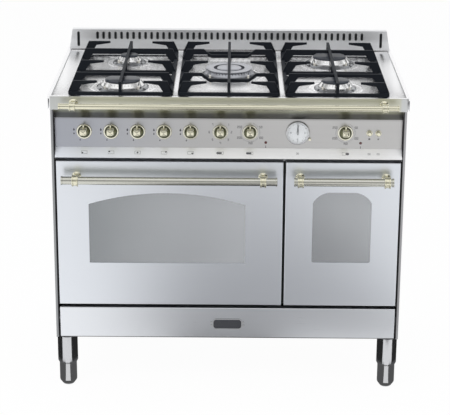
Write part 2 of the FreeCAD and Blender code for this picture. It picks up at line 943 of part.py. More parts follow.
def make_shelf(name, middle, width, depth):
    """Wire shelf: two thick side bars, a front and a back bar, and thin wires front to back."""
    level = s.cavity_bottom + s.support_first + s.support_pitch * s.shelf_level
    z = level + s.support_wire + s.shelf_rest_gap + s.shelf_bar
    half = width / 2 - s.fit_clear - s.support_post * 2 - s.shelf_side_gap - s.shelf_bar
    y_back = cavity_far - shelf_back_space(name)
    y_front = y_back - depth
    rods = [
        rod("shelf_side", s.shelf_bar, depth, middle - half, y_front, z, "y"),
        rod("shelf_side", s.shelf_bar, depth, middle + half, y_front, z, "y"),
        rod("shelf_front", s.shelf_bar, half * 2, middle - half, y_front, z, "x"),
        rod("shelf_back", s.shelf_bar, half * 2, middle - half, y_back, z, "x"),
    ]
    count = int(half.number * 2 / s.shelf_pitch.number)
    for number in range(1, count):
        x = middle - half + half * 2 * number / count
        rods.append(rod("shelf_wire", s.shelf_wire, depth, x, y_front, z, "y"))
    keep(fuse("shelf_" + name, *rods), "oven_shelf_" + name)


def shelf_back_space(name):
    if name == "main":
        return s.fan_wall_gap + s.fan_depth + s.baffle_gap + s.sheet + s.shelf_back_gap
    return s.shelf_back_gap + s.shelf_bar


def make_heating_elements():
    pieces = []
    for name, middle, width in (("main", main_middle, s.main_cavity_width),
                                ("small", small_middle, s.small_cavity_width)):
        half = width / 2 - s.element_inset
        z = cavity_top - s.element_drop
        back_wall = cavity_far
        front_end = back_wall - s.element_reach
        inner = half - s.element_bend * 3
        points = [(middle - s.element_bend / 2, back_wall, z),
                  (middle - s.element_bend / 2, back_wall - s.element_bend * 2, z),
                  (middle - half, back_wall - s.element_bend * 2, z),
                  (middle - half, front_end, z), (middle - inner, front_end, z),
                  (middle - inner, back_wall - s.element_bend * 5, z),
                  (middle + inner, back_wall - s.element_bend * 5, z),
                  (middle + inner, front_end, z), (middle + half, front_end, z),
                  (middle + half, back_wall - s.element_bend * 2, z),
                  (middle + s.element_bend / 2, back_wall - s.element_bend * 2, z),
                  (middle + s.element_bend / 2, back_wall, z)]
        if name == "small":
            points = [(middle - half, back_wall, z), (middle - half, front_end, z),
                      (middle + half, front_end, z), (middle + half, back_wall, z)]
            pieces.append(tube("grill_small", points, s.element_radius, s.element_bend))
        else:
            pieces.append(tube("grill_main", points, s.element_radius, s.element_bend / 3))
    keep(group("elements", *pieces), "heating_elements")


def make_fan():
    wall_back = cavity_far + s.cavity_wall
    motor = rod("motor_can", s.motor_radius, s.motor_depth, main_middle, wall_back + s.fan_wall_gap,
                fan_z, "y")
    bore = rod("motor_bore", s.fan_shaft_radius + s.spindle_clear, s.motor_depth / 2, main_middle,
               wall_back + s.fan_wall_gap - s.sheet, fan_z, "y")
    legs = []
    for side in (-1, 1):
        x = main_middle + side * (s.motor_radius - s.sheet * 4)
        legs.append(box("motor_leg", (x - s.sheet * 2, x + s.sheet * 2),
                        (wall_back, wall_back + s.fan_wall_gap),
                        (fan_z - s.fan_hub_radius, fan_z + s.fan_hub_radius)))
    can = fuse("motor_body", cut("motor_cut", motor, bore), *legs)
    baffle_face = cavity_far - s.fan_wall_gap - s.fan_depth - s.baffle_gap
    baffle = body("baffle")
    half_w = s.baffle_width / 2
    half_h = s.baffle_height / 2
    pad(baffle, "xz", baffle_face - s.sheet, cavity_far,
        rounded((main_middle - half_w, main_middle + half_w), (fan_z - half_h, fan_z + half_h),
                s.cavity_corner))
    pocket(baffle, "xz", baffle_face, cavity_far + s.sheet,
           rounded((main_middle - half_w + s.sheet, main_middle + half_w - s.sheet),
                   (fan_z - half_h + s.sheet, fan_z + half_h - s.sheet), s.cavity_corner - s.sheet))
    slots = []
    for number in range(int(s.fan_blades.number) * 2):
        angle = 180 * number / s.fan_blades.number
        slot = Part.makeBox(float(s.baffle_slot_outer - s.baffle_slot_inner), float(s.sheet * 4),
                            float(s.baffle_slot_width))
        slot.translate(Vector(float(s.baffle_slot_inner), float(baffle_face - s.sheet * 3),
                              float(s.baffle_slot_width / -2)))
        slot.rotate(Vector(0, 0, 0), Vector(0, 1, 0), angle)
        slot.translate(Vector(float(main_middle), 0, float(fan_z)))
        slots.append(slot)
    cover = cut("baffle_cut", baffle, feature("baffle_slots", Part.makeCompound(slots)))
    keep(group("motor", can, cover), "fan_motor")
    disc_back = cavity_far - s.fan_wall_gap
    blades = [rod("fan_disc", s.fan_radius, s.fan_disc, main_middle, disc_back - s.fan_disc, fan_z, "y"),
              rod("fan_hub", s.fan_hub_radius, s.fan_depth, main_middle, disc_back - s.fan_depth, fan_z,
                  "y"),
              rod("fan_shaft", s.fan_shaft_radius, s.fan_wall_gap * 2 + s.cavity_wall + s.motor_depth / 3,
                  main_middle, disc_back - s.fan_disc, fan_z, "y")]
    for number in range(int(s.fan_blades.number)):
        blade = Part.makeBox(float(s.fan_radius - s.fan_hub_radius * 2), float(s.fan_depth),
                             float(s.fan_blade_thickness))
        blade.translate(Vector(float(s.fan_hub_radius * 2 - s.sheet), float(disc_back - s.fan_depth), 0))
        blade.rotate(Vector(0, 0, 0), Vector(0, 1, 0), 360 * number / s.fan_blades.number)
        blade.translate(Vector(float(main_middle), 0, float(fan_z)))
        blades.append(feature("fan_vane", blade))
    keep(fuse("fan", *blades), "fan_blade")


# Doors


def window_main():
    """Window with upright sides and one low arc on top."""
    left = main_door_x[0] + s.window_inset
    right = left + s.window_width
    half = s.window_width / 2
    radius = (half * half + s.window_rise * s.window_rise) / (s.window_rise * 2)
    return [(left, s.window_bottom), (right, s.window_bottom), (right, s.window_side_top, radius),
            (left, s.window_side_top)]


def window_small():
    """Window with a flat crown between two short arcs."""
    half = s.small_window_width / 2
    left = small_middle - half
    right = small_middle + half
    crown = s.small_window_crown / 2
    top = s.small_window_side_top + s.small_window_rise
    run = half - crown
    rise = s.small_window_rise
    radius = (run * run + rise * rise) / (rise * 2)
    r = s.small_window_corner
    low = s.small_window_bottom
    return [(left + r, low), (right - r, low, r), (right, low + r),
            (right, s.small_window_side_top, radius * 6 / 5), (small_middle + crown, top),
            (small_middle - crown, top, radius * 6 / 5), (left, s.small_window_side_top),
            (left, low + r, r)]


def make_door(name, door_x, window, glass_x, glass_z):
    left, right = door_x
    skin = body("skin_" + name)
    block = pad(skin, "xz", door_front, door_back - s.door_skin,
                rectangle((left, right), (s.door_bottom, s.door_top)))
    round_edges(skin, block, s.door_corner,
                lambda edge, middle: near(middle.y, door_front))
    wall = s.door_skin
    pocket(skin, "xz", door_front + wall, door_back,
           rectangle((left + wall, right - wall), (s.door_bottom + wall, s.door_top - wall)))
    pocket(skin, "xz", door_front - wall, door_front + wall * 2, window)
    ear_space = s.ear_half + s.sheet
    for x in hinge_places(door_x):
        pocket(skin, "xy", s.door_bottom - wall, s.door_bottom + wall * 2,
               rectangle((x - s.notch_width / 2, x + s.notch_width / 2),
                         (pivot_y - ear_space, door_back)))
    keep(skin, "door_skin_" + name)
    outer_pane = box("pane_outer_" + name,
                     (glass_x[0] - s.pane_overlap, glass_x[1] + s.pane_overlap),
                     (door_front + wall, door_front + wall + s.pane_thickness),
                     (glass_z[0] - s.pane_overlap, glass_z[1] + s.pane_overlap))
    liner_face = door_back - wall
    inner_pane = box("pane_inner_" + name,
                     (glass_x[0] - s.pane_overlap, glass_x[1] + s.pane_overlap),
                     (liner_face - s.pane_thickness, liner_face),
                     (glass_z[0] - s.pane_overlap, glass_z[1] + s.pane_overlap))
    keep(group("panes_" + name, outer_pane, inner_pane), "door_glass_" + name)
    liner = body("liner_plate_" + name)
    pad(liner, "xz", liner_face, door_back, rectangle((left, right), (s.door_bottom, s.door_top)))
    pocket(liner, "xz", liner_face - wall, door_back + wall,
           rounded(glass_x, glass_z, s.cavity_corner))
    for x in hinge_places(door_x):
        pocket(liner, "xz", liner_face - wall, door_back + wall,
               rectangle((x - s.notch_width / 2, x + s.notch_width / 2),
                         (s.door_bottom - wall, pivot_z + ear_space)))
    pieces = [liner]
    cheek_high = pivot_z + s.ear_half + s.cheek_thickness
    pins = []
    for x in hinge_places(door_x):
        for side in (-1, 1):
            near_x = x + side * s.notch_width / 2
            far_x = near_x + side * s.cheek_thickness
            span = (near_x, far_x) if side > 0 else (far_x, near_x)
            cheek = box("cheek_" + name, span, (pivot_y - s.ear_half, liner_face),
                        (s.door_bottom + wall, cheek_high))
            hole = rod("cheek_hole_" + name, s.pin_radius, s.cheek_thickness, span[0], pivot_y, pivot_z,
                       "x")
            pieces.append(cut("cheek_bored_" + name, cheek, hole))
        pins.append(rod("hinge_pin_" + name, s.pin_radius, s.notch_width + s.cheek_thickness * 2,
                        x - s.notch_width / 2 - s.cheek_thickness, pivot_y, pivot_z, "x"))
    keep(group("liner_" + name, fuse("liner_fused_" + name, *pieces), *pins), "door_liner_" + name)


def make_bar(label, middle, length, axis_y, axis_z, radius):
    """A round bar with a slightly thicker cap at each end."""
    half = length / 2
    bar = rod(label + "_bar", radius, length - s.bar_cap * 2, middle - half + s.bar_cap,
              axis_y, axis_z, "x")
    caps = []
    for side in (-1, 1):
        cap = [(0, 0), (radius, 0), (radius + s.bar_cap_rise, s.bar_cap_rise),
               (radius + s.bar_cap_rise, s.bar_cap - s.bar_cap_rise), (radius, s.bar_cap),
               (0, s.bar_cap)]
        x = middle - half if side < 0 else middle + half - s.bar_cap
        caps.append(turned(label + "_cap", cap, x, axis_y, axis_z, "x"))
    return fuse(label + "_fused", bar, *caps)


def make_brackets(label, middle, span, face_y, axis_y, axis_z, radius):
    """Two brackets: a ringed collar round the bar, a post and a rosette on the face."""
    pieces = []
    bore = radius + s.fit_clear
    outer = radius + s.bracket_wall
    lip = outer + s.bracket_lip_rise
    half = s.bracket_width / 2
    for side in (-1, 1):
        x = middle + side * span / 2
        collar = turned(label + "_collar", [
            (bore, 0), (lip, 0), (lip, s.bracket_lip_width), (outer, s.bracket_lip_width),
            (outer, s.bracket_width - s.bracket_lip_width),
            (lip, s.bracket_width - s.bracket_lip_width), (lip, s.bracket_width),
            (bore, s.bracket_width)], x - half, axis_y, axis_z, "x")
        post = rod(label + "_post", s.post_radius, face_y - axis_y - radius - s.bracket_wall / 2,
                   x, axis_y + radius + s.bracket_wall / 2, axis_z, "y")
        rosette = turned(label + "_rosette", [
            (0, 0), (s.post_radius, 0), (s.rosette_radius, s.rosette_depth / 2),
            (s.rosette_radius, s.rosette_depth), (0, s.rosette_depth)],
            x, face_y - s.rosette_depth, axis_z, "y")
        pieces.append(fuse(label + "_bracket", collar, post, rosette))
    return pieces


def make_handles():
    axis_y = door_front - s.bar_standoff
    axis_z = s.door_top - s.bar_drop
    for name, middle, length, span in (
            ("main", main_middle, s.main_bar_length, s.main_bracket_span),
            ("small", small_middle, s.small_bar_length, s.small_bracket_span)):
        keep(make_bar("handle_" + name, middle, length, axis_y, axis_z, s.bar_radius),
             "handle_bar_" + name)
        brackets = make_brackets("handle_" + name, middle, span, door_front, axis_y, axis_z, s.bar_radius)
        keep(group("brackets_" + name, *brackets), "handle_brackets_" + name)


def make_rail():
    axis_y = front - s.rail_standoff
    axis_z = s.hob_height - s.rail_drop
    bar = make_bar("rail", 0, s.rail_length, axis_y, axis_z, s.rail_radius - s.bar_cap_rise)
    brackets = make_brackets("rail", 0, s.rail_bracket_span, front, axis_y, axis_z,
                             s.rail_radius - s.bar_cap_rise)
    keep(group("rail", bar, *brackets), "hob_rail")


# Control panel and what is on it

knob_places = [s.knob_1_x, s.knob_2_x, s.knob_3_x, s.knob_4_x, s.knob_5_x, s.knob_6_x, s.knob_7_x,
               s.knob_8_x]
lamp_z = s.knob_height - s.lamp_drop
clock_z = s.knob_height
setter_x = s.clock_x + s.setter_x
setter_z = clock_z - s.setter_drop


def make_control_panel():
    t = s.sheet
    panel = body("panel_sheet")
    face_back = panel_face + t
    outline = [
        (front, fascia_bottom), (panel_face, s.panel_top), (panel_face, s.panel_bottom),
        (lip_front, s.lip_bottom), (frame_front, s.lip_bottom), (frame_front, s.lip_bottom + t),
        (lip_front + t * 3, s.lip_bottom + t), (face_back, s.panel_bottom - t / 2),
        (face_back, s.panel_top + t / 2), (front + t * 3, fascia_bottom)]
    pad(panel, "yz", -s.panel_width / 2, s.panel_width / 2, outline)
    holes = [(x, s.knob_height, s.spindle_hole_radius) for x in knob_places]
    holes.append((s.clock_x, clock_z, s.clock_radius - s.clock_bezel + s.fit_clear))
    holes.append((setter_x, setter_z, s.post_pin_radius + s.spindle_clear))
    holes += [(x, lamp_z, s.lamp_radius - s.lamp_reach / 2) for x in (s.lamp_1_x, s.lamp_2_x)]
    holes += [(x, s.knob_height, s.button_radius + s.button_clear)
              for x in (s.button_1_x, s.button_2_x)]
    pocket(panel, "xz", panel_face - t, panel_face + t * 2, *holes)
    keep(panel, "control_panel")


def make_bezels():
    pieces = []
    for x in knob_places:
        d = s.bezel_depth
        pieces.append(turned("bezel", [
            (s.bezel_bore_radius, 0), (s.bezel_radius, 0), (s.bezel_radius, d / 2),
            (s.bezel_radius - d / 2, d), (s.bezel_bore_radius, d)],
            x, panel_face, s.knob_height, "-y"))
    for x in (s.button_1_x, s.button_2_x):
        pieces.append(ring("button_collar", s.button_collar_radius, s.button_radius + s.button_clear,
                           s.button_collar_depth, x, panel_face, s.knob_height, "-y"))
    keep(group("bezels", *pieces), "knob_bezels")


def make_knob(number, x):
    """A turned skirt with a pear-shaped grip whose narrow end is the pointer."""
    knob = body("knob_body_{}".format(number))
    g = s.knob_gap
    deep = s.knob_skirt_depth
    turn(knob, [(0, g), (s.knob_skirt_radius, g), (s.knob_skirt_radius, deep * 2 / 3),
                (s.knob_grip_radius, deep + s.knob_edge * 2), (0, deep + s.knob_edge * 2)])
    big = s.knob_grip_radius
    tip = s.pointer_radius
    span = s.pointer_reach - tip
    # the straight sides are tangent to both arcs
    lean = (big - tip) / span
    rise = (1 - number_of(lean) ** 2) ** 0.5
    outline = [
        (big * rise, big * lean),
        (tip * rise, span + tip * lean, tip),
        (0, span + tip, tip), (-tip * rise, span + tip * lean),
        (-big * rise, big * lean, big), (-big, 0, big), (0, -big, big), (big, 0, big),
    ]
    grip = pad(knob, "xy", deep * 2 / 3, s.knob_reach, outline)
    round_edges(knob, grip, s.knob_edge, lambda edge, middle: near(middle.z, s.knob_reach))
    pocket(knob, "xy", 0, s.spindle_socket, (0, 0, s.spindle_radius))
    place(knob, x, panel_face, s.knob_height, "-y")
    spindle = rod("spindle_{}".format(number), s.spindle_radius, s.spindle_socket + s.spindle_back,
                  x, panel_face - s.spindle_socket, s.knob_height, "y")
    keep(group("knob_{}".format(number), knob, spindle), knob_names[number])


knob_names = ["knob_burner_1", "knob_burner_2", "knob_burner_3", "knob_burner_4", "knob_burner_5",
              "knob_oven_function", "knob_oven_heat", "knob_small_oven"]


def make_tap_rail():
    """Taps on a pipe behind the burner knobs, and round switch bodies behind the oven knobs."""
    pieces = []
    y0 = panel_face + s.sheet + s.tap_gap
    low = s.knob_height - s.tap_height / 2
    pipe_y = y0 + s.tap_depth - s.manifold_radius
    pipe_z = low - s.manifold_radius
    clear = s.spindle_radius + s.spindle_clear
    bore_depth = s.spindle_back - s.sheet - s.tap_gap + s.fit_clear * 10
    for number, x in enumerate(knob_places[:5]):
        block = box("tap_block", (x - s.tap_width / 2, x + s.tap_width / 2), (y0, y0 + s.tap_depth),
                    (low, s.knob_height + s.tap_height / 2))
        bore = rod("tap_bore", clear, bore_depth, x, y0, s.knob_height, "y")
        neck = rod("tap_neck", clear + s.sheet * 2, s.tap_gap, x, y0 - s.tap_gap, s.knob_height, "y")
        neck_bore = rod("neck_bore", clear, s.tap_gap, x, y0 - s.tap_gap, s.knob_height, "y")
        pieces.append(fuse("tap_{}".format(number), cut("tap_cut", block, bore),
                           cut("neck_cut", neck, neck_bore)))
    for number, x in enumerate(knob_places[5:]):
        can = rod("switch_can", s.switch_radius, s.switch_depth, x, y0, s.knob_height, "y")
        bore = rod("switch_bore", clear, bore_depth, x, y0, s.knob_height, "y")
        neck = rod("switch_neck", clear + s.sheet * 2, s.tap_gap, x, y0 - s.tap_gap, s.knob_height, "y")
        neck_bore = rod("switch_neck_bore", clear, s.tap_gap, x, y0 - s.tap_gap, s.knob_height, "y")
        pieces.append(fuse("switch_{}".format(number), cut("switch_cut", can, bore),
                           cut("switch_neck_cut", neck, neck_bore)))
    r = s.manifold_radius
    run_z = s.inlet_height
    pipe = tube("manifold", [
        (s.knob_1_x - s.tap_width, pipe_y, pipe_z), (s.inlet_x, pipe_y, pipe_z),
        (s.inlet_x, body_back - s.pipe_space * 3, pipe_z), (s.inlet_x, body_back - s.pipe_space * 3, run_z),
        (s.inlet_x, body_back + s.inlet_length, run_z)], r, r * 2)
    union = turned("inlet_union", [
        (r, 0), (s.inlet_flange_radius, 0), (s.inlet_flange_radius, s.inlet_flange),
        (s.inlet_radius, s.inlet_flange), (s.inlet_radius, s.inlet_length), (r, s.inlet_length)],
        s.inlet_x, body_back, run_z, "y")
    pieces += [pipe, union]
    keep(group("taps", *pieces), "gas_rail")


def make_clock():
    r = s.clock_radius
    inner = r - s.clock_bezel
    reach_out = s.clock_reach
    deep = s.clock_depth
    wall = s.sheet
    keep(turned("clock_cup", [
        (inner, 0), (r, 0), (r, reach_out - wall), (r - wall, reach_out), (inner - wall, reach_out),
        (inner - wall, -deep + wall), (0, -deep + wall), (0, -deep), (inner, -deep)],
        s.clock_x, panel_face, clock_z, "-y"), "clock_case")
    seat = inner - wall
    face = reach_out - s.dial_inset
    thick = s.dial_thickness
    post = s.post_pin_radius
    post_top = face + s.hand_gap * 2 + s.hand_thickness * 2 + s.hand_gap
    keep(turned("dial", [
        (0, face - thick), (seat, face - thick), (seat, face), (post, face), (post, post_top),
        (0, post_top)], s.clock_x, panel_face, clock_z, "-y"), "clock_dial")
    glass_low = reach_out - s.glass_thickness - s.hand_gap
    keep(turned("crystal", [
        (0, glass_low), (seat, glass_low), (seat, glass_low + s.glass_thickness),
        (0, glass_low + s.glass_thickness)], s.clock_x, panel_face, clock_z, "-y"), "clock_glass")
    for label, length, low in (("hour_hand", s.hour_hand_length, face + s.hand_gap),
                               ("minute_hand", s.minute_hand_length,
                                face + s.hand_gap * 2 + s.hand_thickness)):
        hand = body(label + "_body")
        high = low + s.hand_thickness
        half = s.hand_width / 2
        pad(hand, "xy", low, high, (0, 0, s.hand_hub_radius))
        pad(hand, "xy", low, high, [
            (-half, -s.hand_hub_radius * 2), (half, -s.hand_hub_radius * 2), (half, length * 3 / 4),
            (0, length), (-half, length * 3 / 4)])
        pocket(hand, "xy", low - s.hand_gap, high + s.hand_gap, (0, 0, post + s.spindle_clear))
        place(hand, s.clock_x, panel_face, clock_z, "-y")
        keep(hand, label)
    out = s.setter_reach
    keep(turned("setter", [
        (0, -deep / 2), (s.post_pin_radius, -deep / 2), (s.post_pin_radius, out / 2),
        (s.setter_radius, out / 2), (s.setter_radius, out - s.hand_gap * 2),
        (s.setter_radius - s.hand_gap * 2, out), (0, out)], setter_x, panel_face, setter_z, "-y"),
        "clock_setting_knob")


def make_lamps():
    pieces = []
    for x in (s.lamp_1_x, s.lamp_2_x):
        r = s.lamp_radius
        pieces.append(turned("lamp", [
            (0, -s.lamp_depth), (r - s.lamp_reach / 2, -s.lamp_depth), (r - s.lamp_reach / 2, 0),
            (r, 0), (r, s.lamp_reach / 2), (r / 2, s.lamp_reach), (0, s.lamp_reach)],
            x, panel_face, lamp_z, "-y"))
    keep(group("lamps", *pieces), "indicator_lamps")


def make_buttons():
    for label, x in (("push_button_lamp", s.button_1_x), ("push_button_spark", s.button_2_x)):
        r = s.button_radius
        edge = s.button_flange
        flange_z = -s.sheet - s.stop_gap
        keep(turned(label + "_body", [
            (0, -s.button_depth - s.button_flange * 2), (r / 2, -s.button_depth - s.button_flange * 2),
            (r / 2, flange_z - edge), (r + edge, flange_z - edge), (r + edge, flange_z), (r, flange_z),
            (r, s.button_reach - edge), (r - edge, s.button_reach), (0, s.button_reach)],
            x, panel_face, s.knob_height, "-y"), label)


# Drawer and nameplate


def make_drawer():
    half = s.door_group_width / 2
    face = body("drawer_face")
    block = pad(face, "xz", door_front, door_front + s.drawer_front_depth,
                rectangle((-half, half), (s.drawer_bottom, s.drawer_top)))
    round_edges(face, block, s.door_corner, lambda edge, middle: near(middle.y, door_front))
    wall = s.door_skin
    pocket(face, "xz", door_front + wall, door_front + s.drawer_front_depth + wall,
           rectangle((-half + wall, half - wall), (s.drawer_bottom + wall, s.drawer_top - wall)))
    keep(face, "drawer_front")
    low = s.drawer_bottom + s.drawer_box_rise
    high = low + s.drawer_box_height
    start = door_front + wall
    tray = body("drawer_tray")
    pad(tray, "xy", low, high,
        rectangle((-drawer_box_half, drawer_box_half), (start, start + s.drawer_box_depth)))
    pocket(tray, "xy", low + s.sheet, high + s.sheet,
           rectangle((-drawer_box_half + s.sheet, drawer_box_half - s.sheet),
                     (start + s.sheet, start + s.drawer_box_depth - s.sheet)))
    runners = []
    runner_low = s.drawer_bottom + s.runner_rise
    for side in (-1, 1):
        inner = side * drawer_box_half
        outer = side * (drawer_box_half + s.runner_width)
        runners.append(box("drawer_runner", (outer, inner) if side < 0 else (inner, outer),
                           (frame_front, start + s.drawer_box_depth),
                           (runner_low, runner_low + s.runner_height)))
    keep(fuse("drawer_fused", tray, *runners), "drawer_box")
    half_w = s.plate_width / 2
    half_h = s.plate_height / 2
    z = s.plate_height_z
    frame = body("plate_frame")
    grow = s.plate_frame
    pad(frame, "xz", door_front - s.plate_depth, door_front,
        rounded((-half_w - grow, half_w + grow), (z - half_h - grow, z + half_h + grow),
                s.plate_corner + grow))
    pocket(frame, "xz", door_front - s.plate_depth * 2, door_front + wall,
           rounded((-half_w, half_w), (z - half_h, z + half_h), s.plate_corner))
    plate = body("plate_field")
    pad(plate, "xz", door_front - s.plate_depth / 2, door_front,
        rounded((-half_w, half_w), (z - half_h, z + half_h), s.plate_corner))
    ears = []
    for side in (-1, 1):
        for up in (-1, 1):
            ears.append(rod("plate_rivet", s.plate_frame, s.plate_depth,
                            side * (half_w + grow + s.plate_frame), door_front,
                            z + up * s.plate_ear / 2, "-y"))
    keep(group("nameplate_group", fuse("plate_fused", frame, *ears), plate), "nameplate")


def make_feet():
    for name, x, y in leg_places:
        r = s.foot_radius
        keep(turned("foot_" + name, [
            (0, 0), (s.foot_base_radius, 0), (r, s.foot_round), (r, s.foot_top),
            (s.foot_stem_radius, s.foot_top), (s.foot_stem_radius, s.leg_height - s.stop_gap),
            (0, s.leg_height - s.stop_gap)],
            x, y), "foot_" + name)


# Pan supports


def make_grate(label, left, right, dipped):
    """A low rail all round, cross bars and fingers at the top level, and a fore-and-aft bar.

    Under a dipped one the big burner stands where the others have a middle rail.
    """
    top = s.hob_height + s.grate_rise
    rail_low = pan + s.grate_pad
    rail_high = rail_low + s.grate_rail_height
    y_low = front + s.grate_front
    y_high = y_low + s.grate_depth
    w = s.grate_rail
    frame = body(label + "_frame")
    pad(frame, "xy", rail_low, rail_high, rounded((left, right), (y_low, y_high), s.grate_corner))
    pocket(frame, "xy", rail_low - w, rail_high + w,
           rectangle((left + w, right - w), (y_low + w, y_high - w)))
    pieces = [frame]
    middle = (left + right) / 2
    half_bar = s.grate_bar / 2
    inner_left = left + s.grate_leg
    inner_right = right - s.grate_leg
    lean_left = left + s.grate_lean
    lean_right = right - s.grate_lean
    under = top - s.grate_bar_height
    middle_y = (y_low + y_high) / 2
    run = [(y_low, rail_low), (y_low + w, rail_low), (y_low + w, under)]
    if not dipped:
        pieces.append(box(label + "_middle_rail", (left, right), (middle_y - w / 2, middle_y + w / 2),
                          (rail_low, rail_high)))
        run += [(middle_y - w / 2, under), (middle_y - w / 2, rail_low), (middle_y + w / 2, rail_low),
                (middle_y + w / 2, under)]
    run += [(y_high - w, under), (y_high - w, rail_low), (y_high, rail_low), (y_high, top), (y_low, top)]
    for y in (front_burner, rear_burner):
        g = s.grate_gusset
        if dipped:
            d = s.dip_half
            e = d + s.dip_slope
            lower = top - s.dip_depth
            upper_line = [(middle + e, top), (middle + d, lower), (middle - d, lower), (middle - e, top)]
            b = s.grate_bar_height
            lower_line = [(middle - e, under), (middle - d, lower - b), (middle + d, lower - b),
                          (middle + e, under)]
        else:
            upper_line = []
            lower_line = []
        outline = [(left, rail_low), (inner_left, rail_low), (inner_left + g, under)] + lower_line + [
            (inner_right - g, under), (inner_right, rail_low), (right, rail_low), (right, rail_high),
            (lean_right, top)] + upper_line + [(lean_left, top), (left, rail_high)]
        pieces.append(prism(label + "_bar", "xz", y - half_bar, y + half_bar, outline))
    for y in (y_low + s.front_finger_setback, middle_y, y_high - w / 2):
        f = s.finger_length
        t = s.finger_tip
        k = s.finger_knee
        root = top - s.finger_root
        pieces.append(prism(label + "_finger_left", "xz", y - half_bar, y + half_bar, [
            (left, rail_low), (inner_left, rail_low), (left + k, root), (left + f, top - t),
            (left + f, top), (lean_left, top), (left, rail_high)]))
        pieces.append(prism(label + "_finger_right", "xz", y - half_bar, y + half_bar, [
            (right, rail_low), (right, rail_high), (lean_right, top), (right - f, top),
            (right - f, top - t), (right - k, root), (inner_right, rail_low)]))
    pieces.append(prism(label + "_spine", "yz", middle - half_bar, middle + half_bar, run))
    inset = s.grate_corner
    for x in (left + inset, right - inset):
        for y in (y_low + inset, y_high - inset):
            pieces.append(rod(label + "_pad", s.grate_pad_radius, s.grate_pad + s.grate_rail_height / 2,
                              x, y, pan))
    keep(fuse(label + "_fused", *pieces), label)


# Burners


def ported(label, crown, x, y, radius, count, low, high):
    """Cut the flame ports through the upper edge of a crown, evenly round it."""
    cuts = []
    depth = float(s.crown_taper * 2)
    width = float(s.port_width)
    for number in range(count):
        cutter = Part.makeBox(depth, width, float(high - low))
        cutter.translate(Vector(float(radius) - depth / 2, -width / 2, float(low)))
        cutter.rotate(Vector(0, 0, 0), Vector(0, 0, 1), 360 * number / count)
        cutter.translate(Vector(number_of(x), number_of(y), 0))
        cuts.append(cutter)
    return cut(label + "_ported", crown, feature(label + "_ports", Part.makeCompound(cuts)))


def crown_profile(seat_low, base, radius, bore):
    """Crown: a skirt in the cup, a base plate and sides that lean in to the cap."""
    skirt = bore + s.crown_wall
    top = base + s.crown_height
    shoulder = radius - s.crown_taper
    return [(bore, seat_low), (skirt, seat_low), (skirt, base), (radius, base),
            (radius, base + s.crown_base), (shoulder, top), (shoulder - s.crown_wall * 2, top),
            (shoulder - s.crown_wall * 2, base + s.crown_base), (bore, base + s.crown_base)]


def cap_profile(radius, low):
    """Cap: a flat plate with a slightly domed top."""
    return [(0, low), (radius - s.cap_edge / 3, low), (radius, low + s.cap_edge / 3),
            (radius, low + s.cap_edge * 2 / 3), (radius - s.cap_edge, low + s.cap_edge * 3 / 2),
            (radius / 2, low + s.cap_height - s.cap_edge / 3), (0, low + s.cap_height)]


burner_table = [
    ("burner_front_left", 0, s.rapid_cup, s.rapid_crown, s.rapid_cap, 36),
    ("burner_rear_left", 1, s.small_cup, s.small_crown, s.small_cap, 20),
    ("burner_centre", 2, s.wok_cup, s.wok_crown, s.wok_cap, 44),
    ("burner_front_right", 3, s.medium_cup, s.medium_crown, s.medium_cap, 28),
    ("burner_rear_right", 4, s.rapid_cup, s.rapid_crown, s.rapid_cap, 36),
]


def make_burners():
    base = pan + s.cup_height
    seat_low = base - s.crown_seat
    skirt = s.cup_bore - s.crown_wall - s.crown_clear
    cups = []
    for label, index, cup, crown, cap, ports in burner_table:
        x, y = burner_places[index]
        cups.append(turned(label + "_cup", [
            (s.cup_bore, pan - s.cup_depth), (s.cup_tube, pan - s.cup_depth), (s.cup_tube, pan),
            (cup, pan), (cup, pan + s.cup_lip / 2), (cup - s.cup_lip, base), (s.cup_bore, base)], x, y))
        top = base + s.crown_height
        head = turned(label + "_crown", crown_profile(seat_low, base, crown, skirt), x, y)
        head = ported(label, head, x, y, crown - s.crown_taper, ports, top - s.port_height, top + s.sheet)
        pieces = [head]
        if label == "burner_centre":
            ring_cap = turned("wok_ring", [
                (s.wok_ring_bore, top), (cap - s.cap_edge / 2, top), (cap, top + s.cap_edge / 2),
                (cap - s.cap_edge / 2, top + s.cap_edge), (s.wok_ring_bore, top + s.cap_edge)], x, y)
            inner = turned("wok_inner_crown", [
                (skirt + s.crown_wall, base + s.crown_base), (s.wok_inner_crown, base + s.crown_base),
                (s.wok_inner_crown, top), (s.wok_inner_crown - s.crown_wall, top),
                (s.wok_inner_crown - s.crown_wall, base + s.crown_base * 2),
                (skirt + s.crown_wall, base + s.crown_base * 2)], x, y)
            inner = ported("wok_inner", inner, x, y, s.wok_inner_crown, 20, top - s.port_height,
                           top + s.sheet)
            pieces += [inner, ring_cap, turned("wok_inner_cap", cap_profile(s.wok_inner_cap, top), x, y)]
        else:
            pieces.append(turned(label + "_cap", cap_profile(cap, top), x, y))
        keep(group(label + "_group", *pieces), label)
        r_plug = crown + s.plug_gap
        for angle, tall in ((225, s.plug_height), (315, s.plug_height)):
            cos = math.cos(math.radians(angle))
            sin = math.sin(math.radians(angle))
            px = x + r_plug * cos
            py = y + r_plug * sin
            tip = s.plug_tip_radius
            wide = s.plug_radius
            cups.append(turned(label + "_probe", [
                (0, base), (wide, base), (wide, base + s.plug_body), (tip, base + s.plug_body),
                (tip, base + tall), (0, base + tall)], px, py))
    keep(group("cups", *cups), "burner_cups")


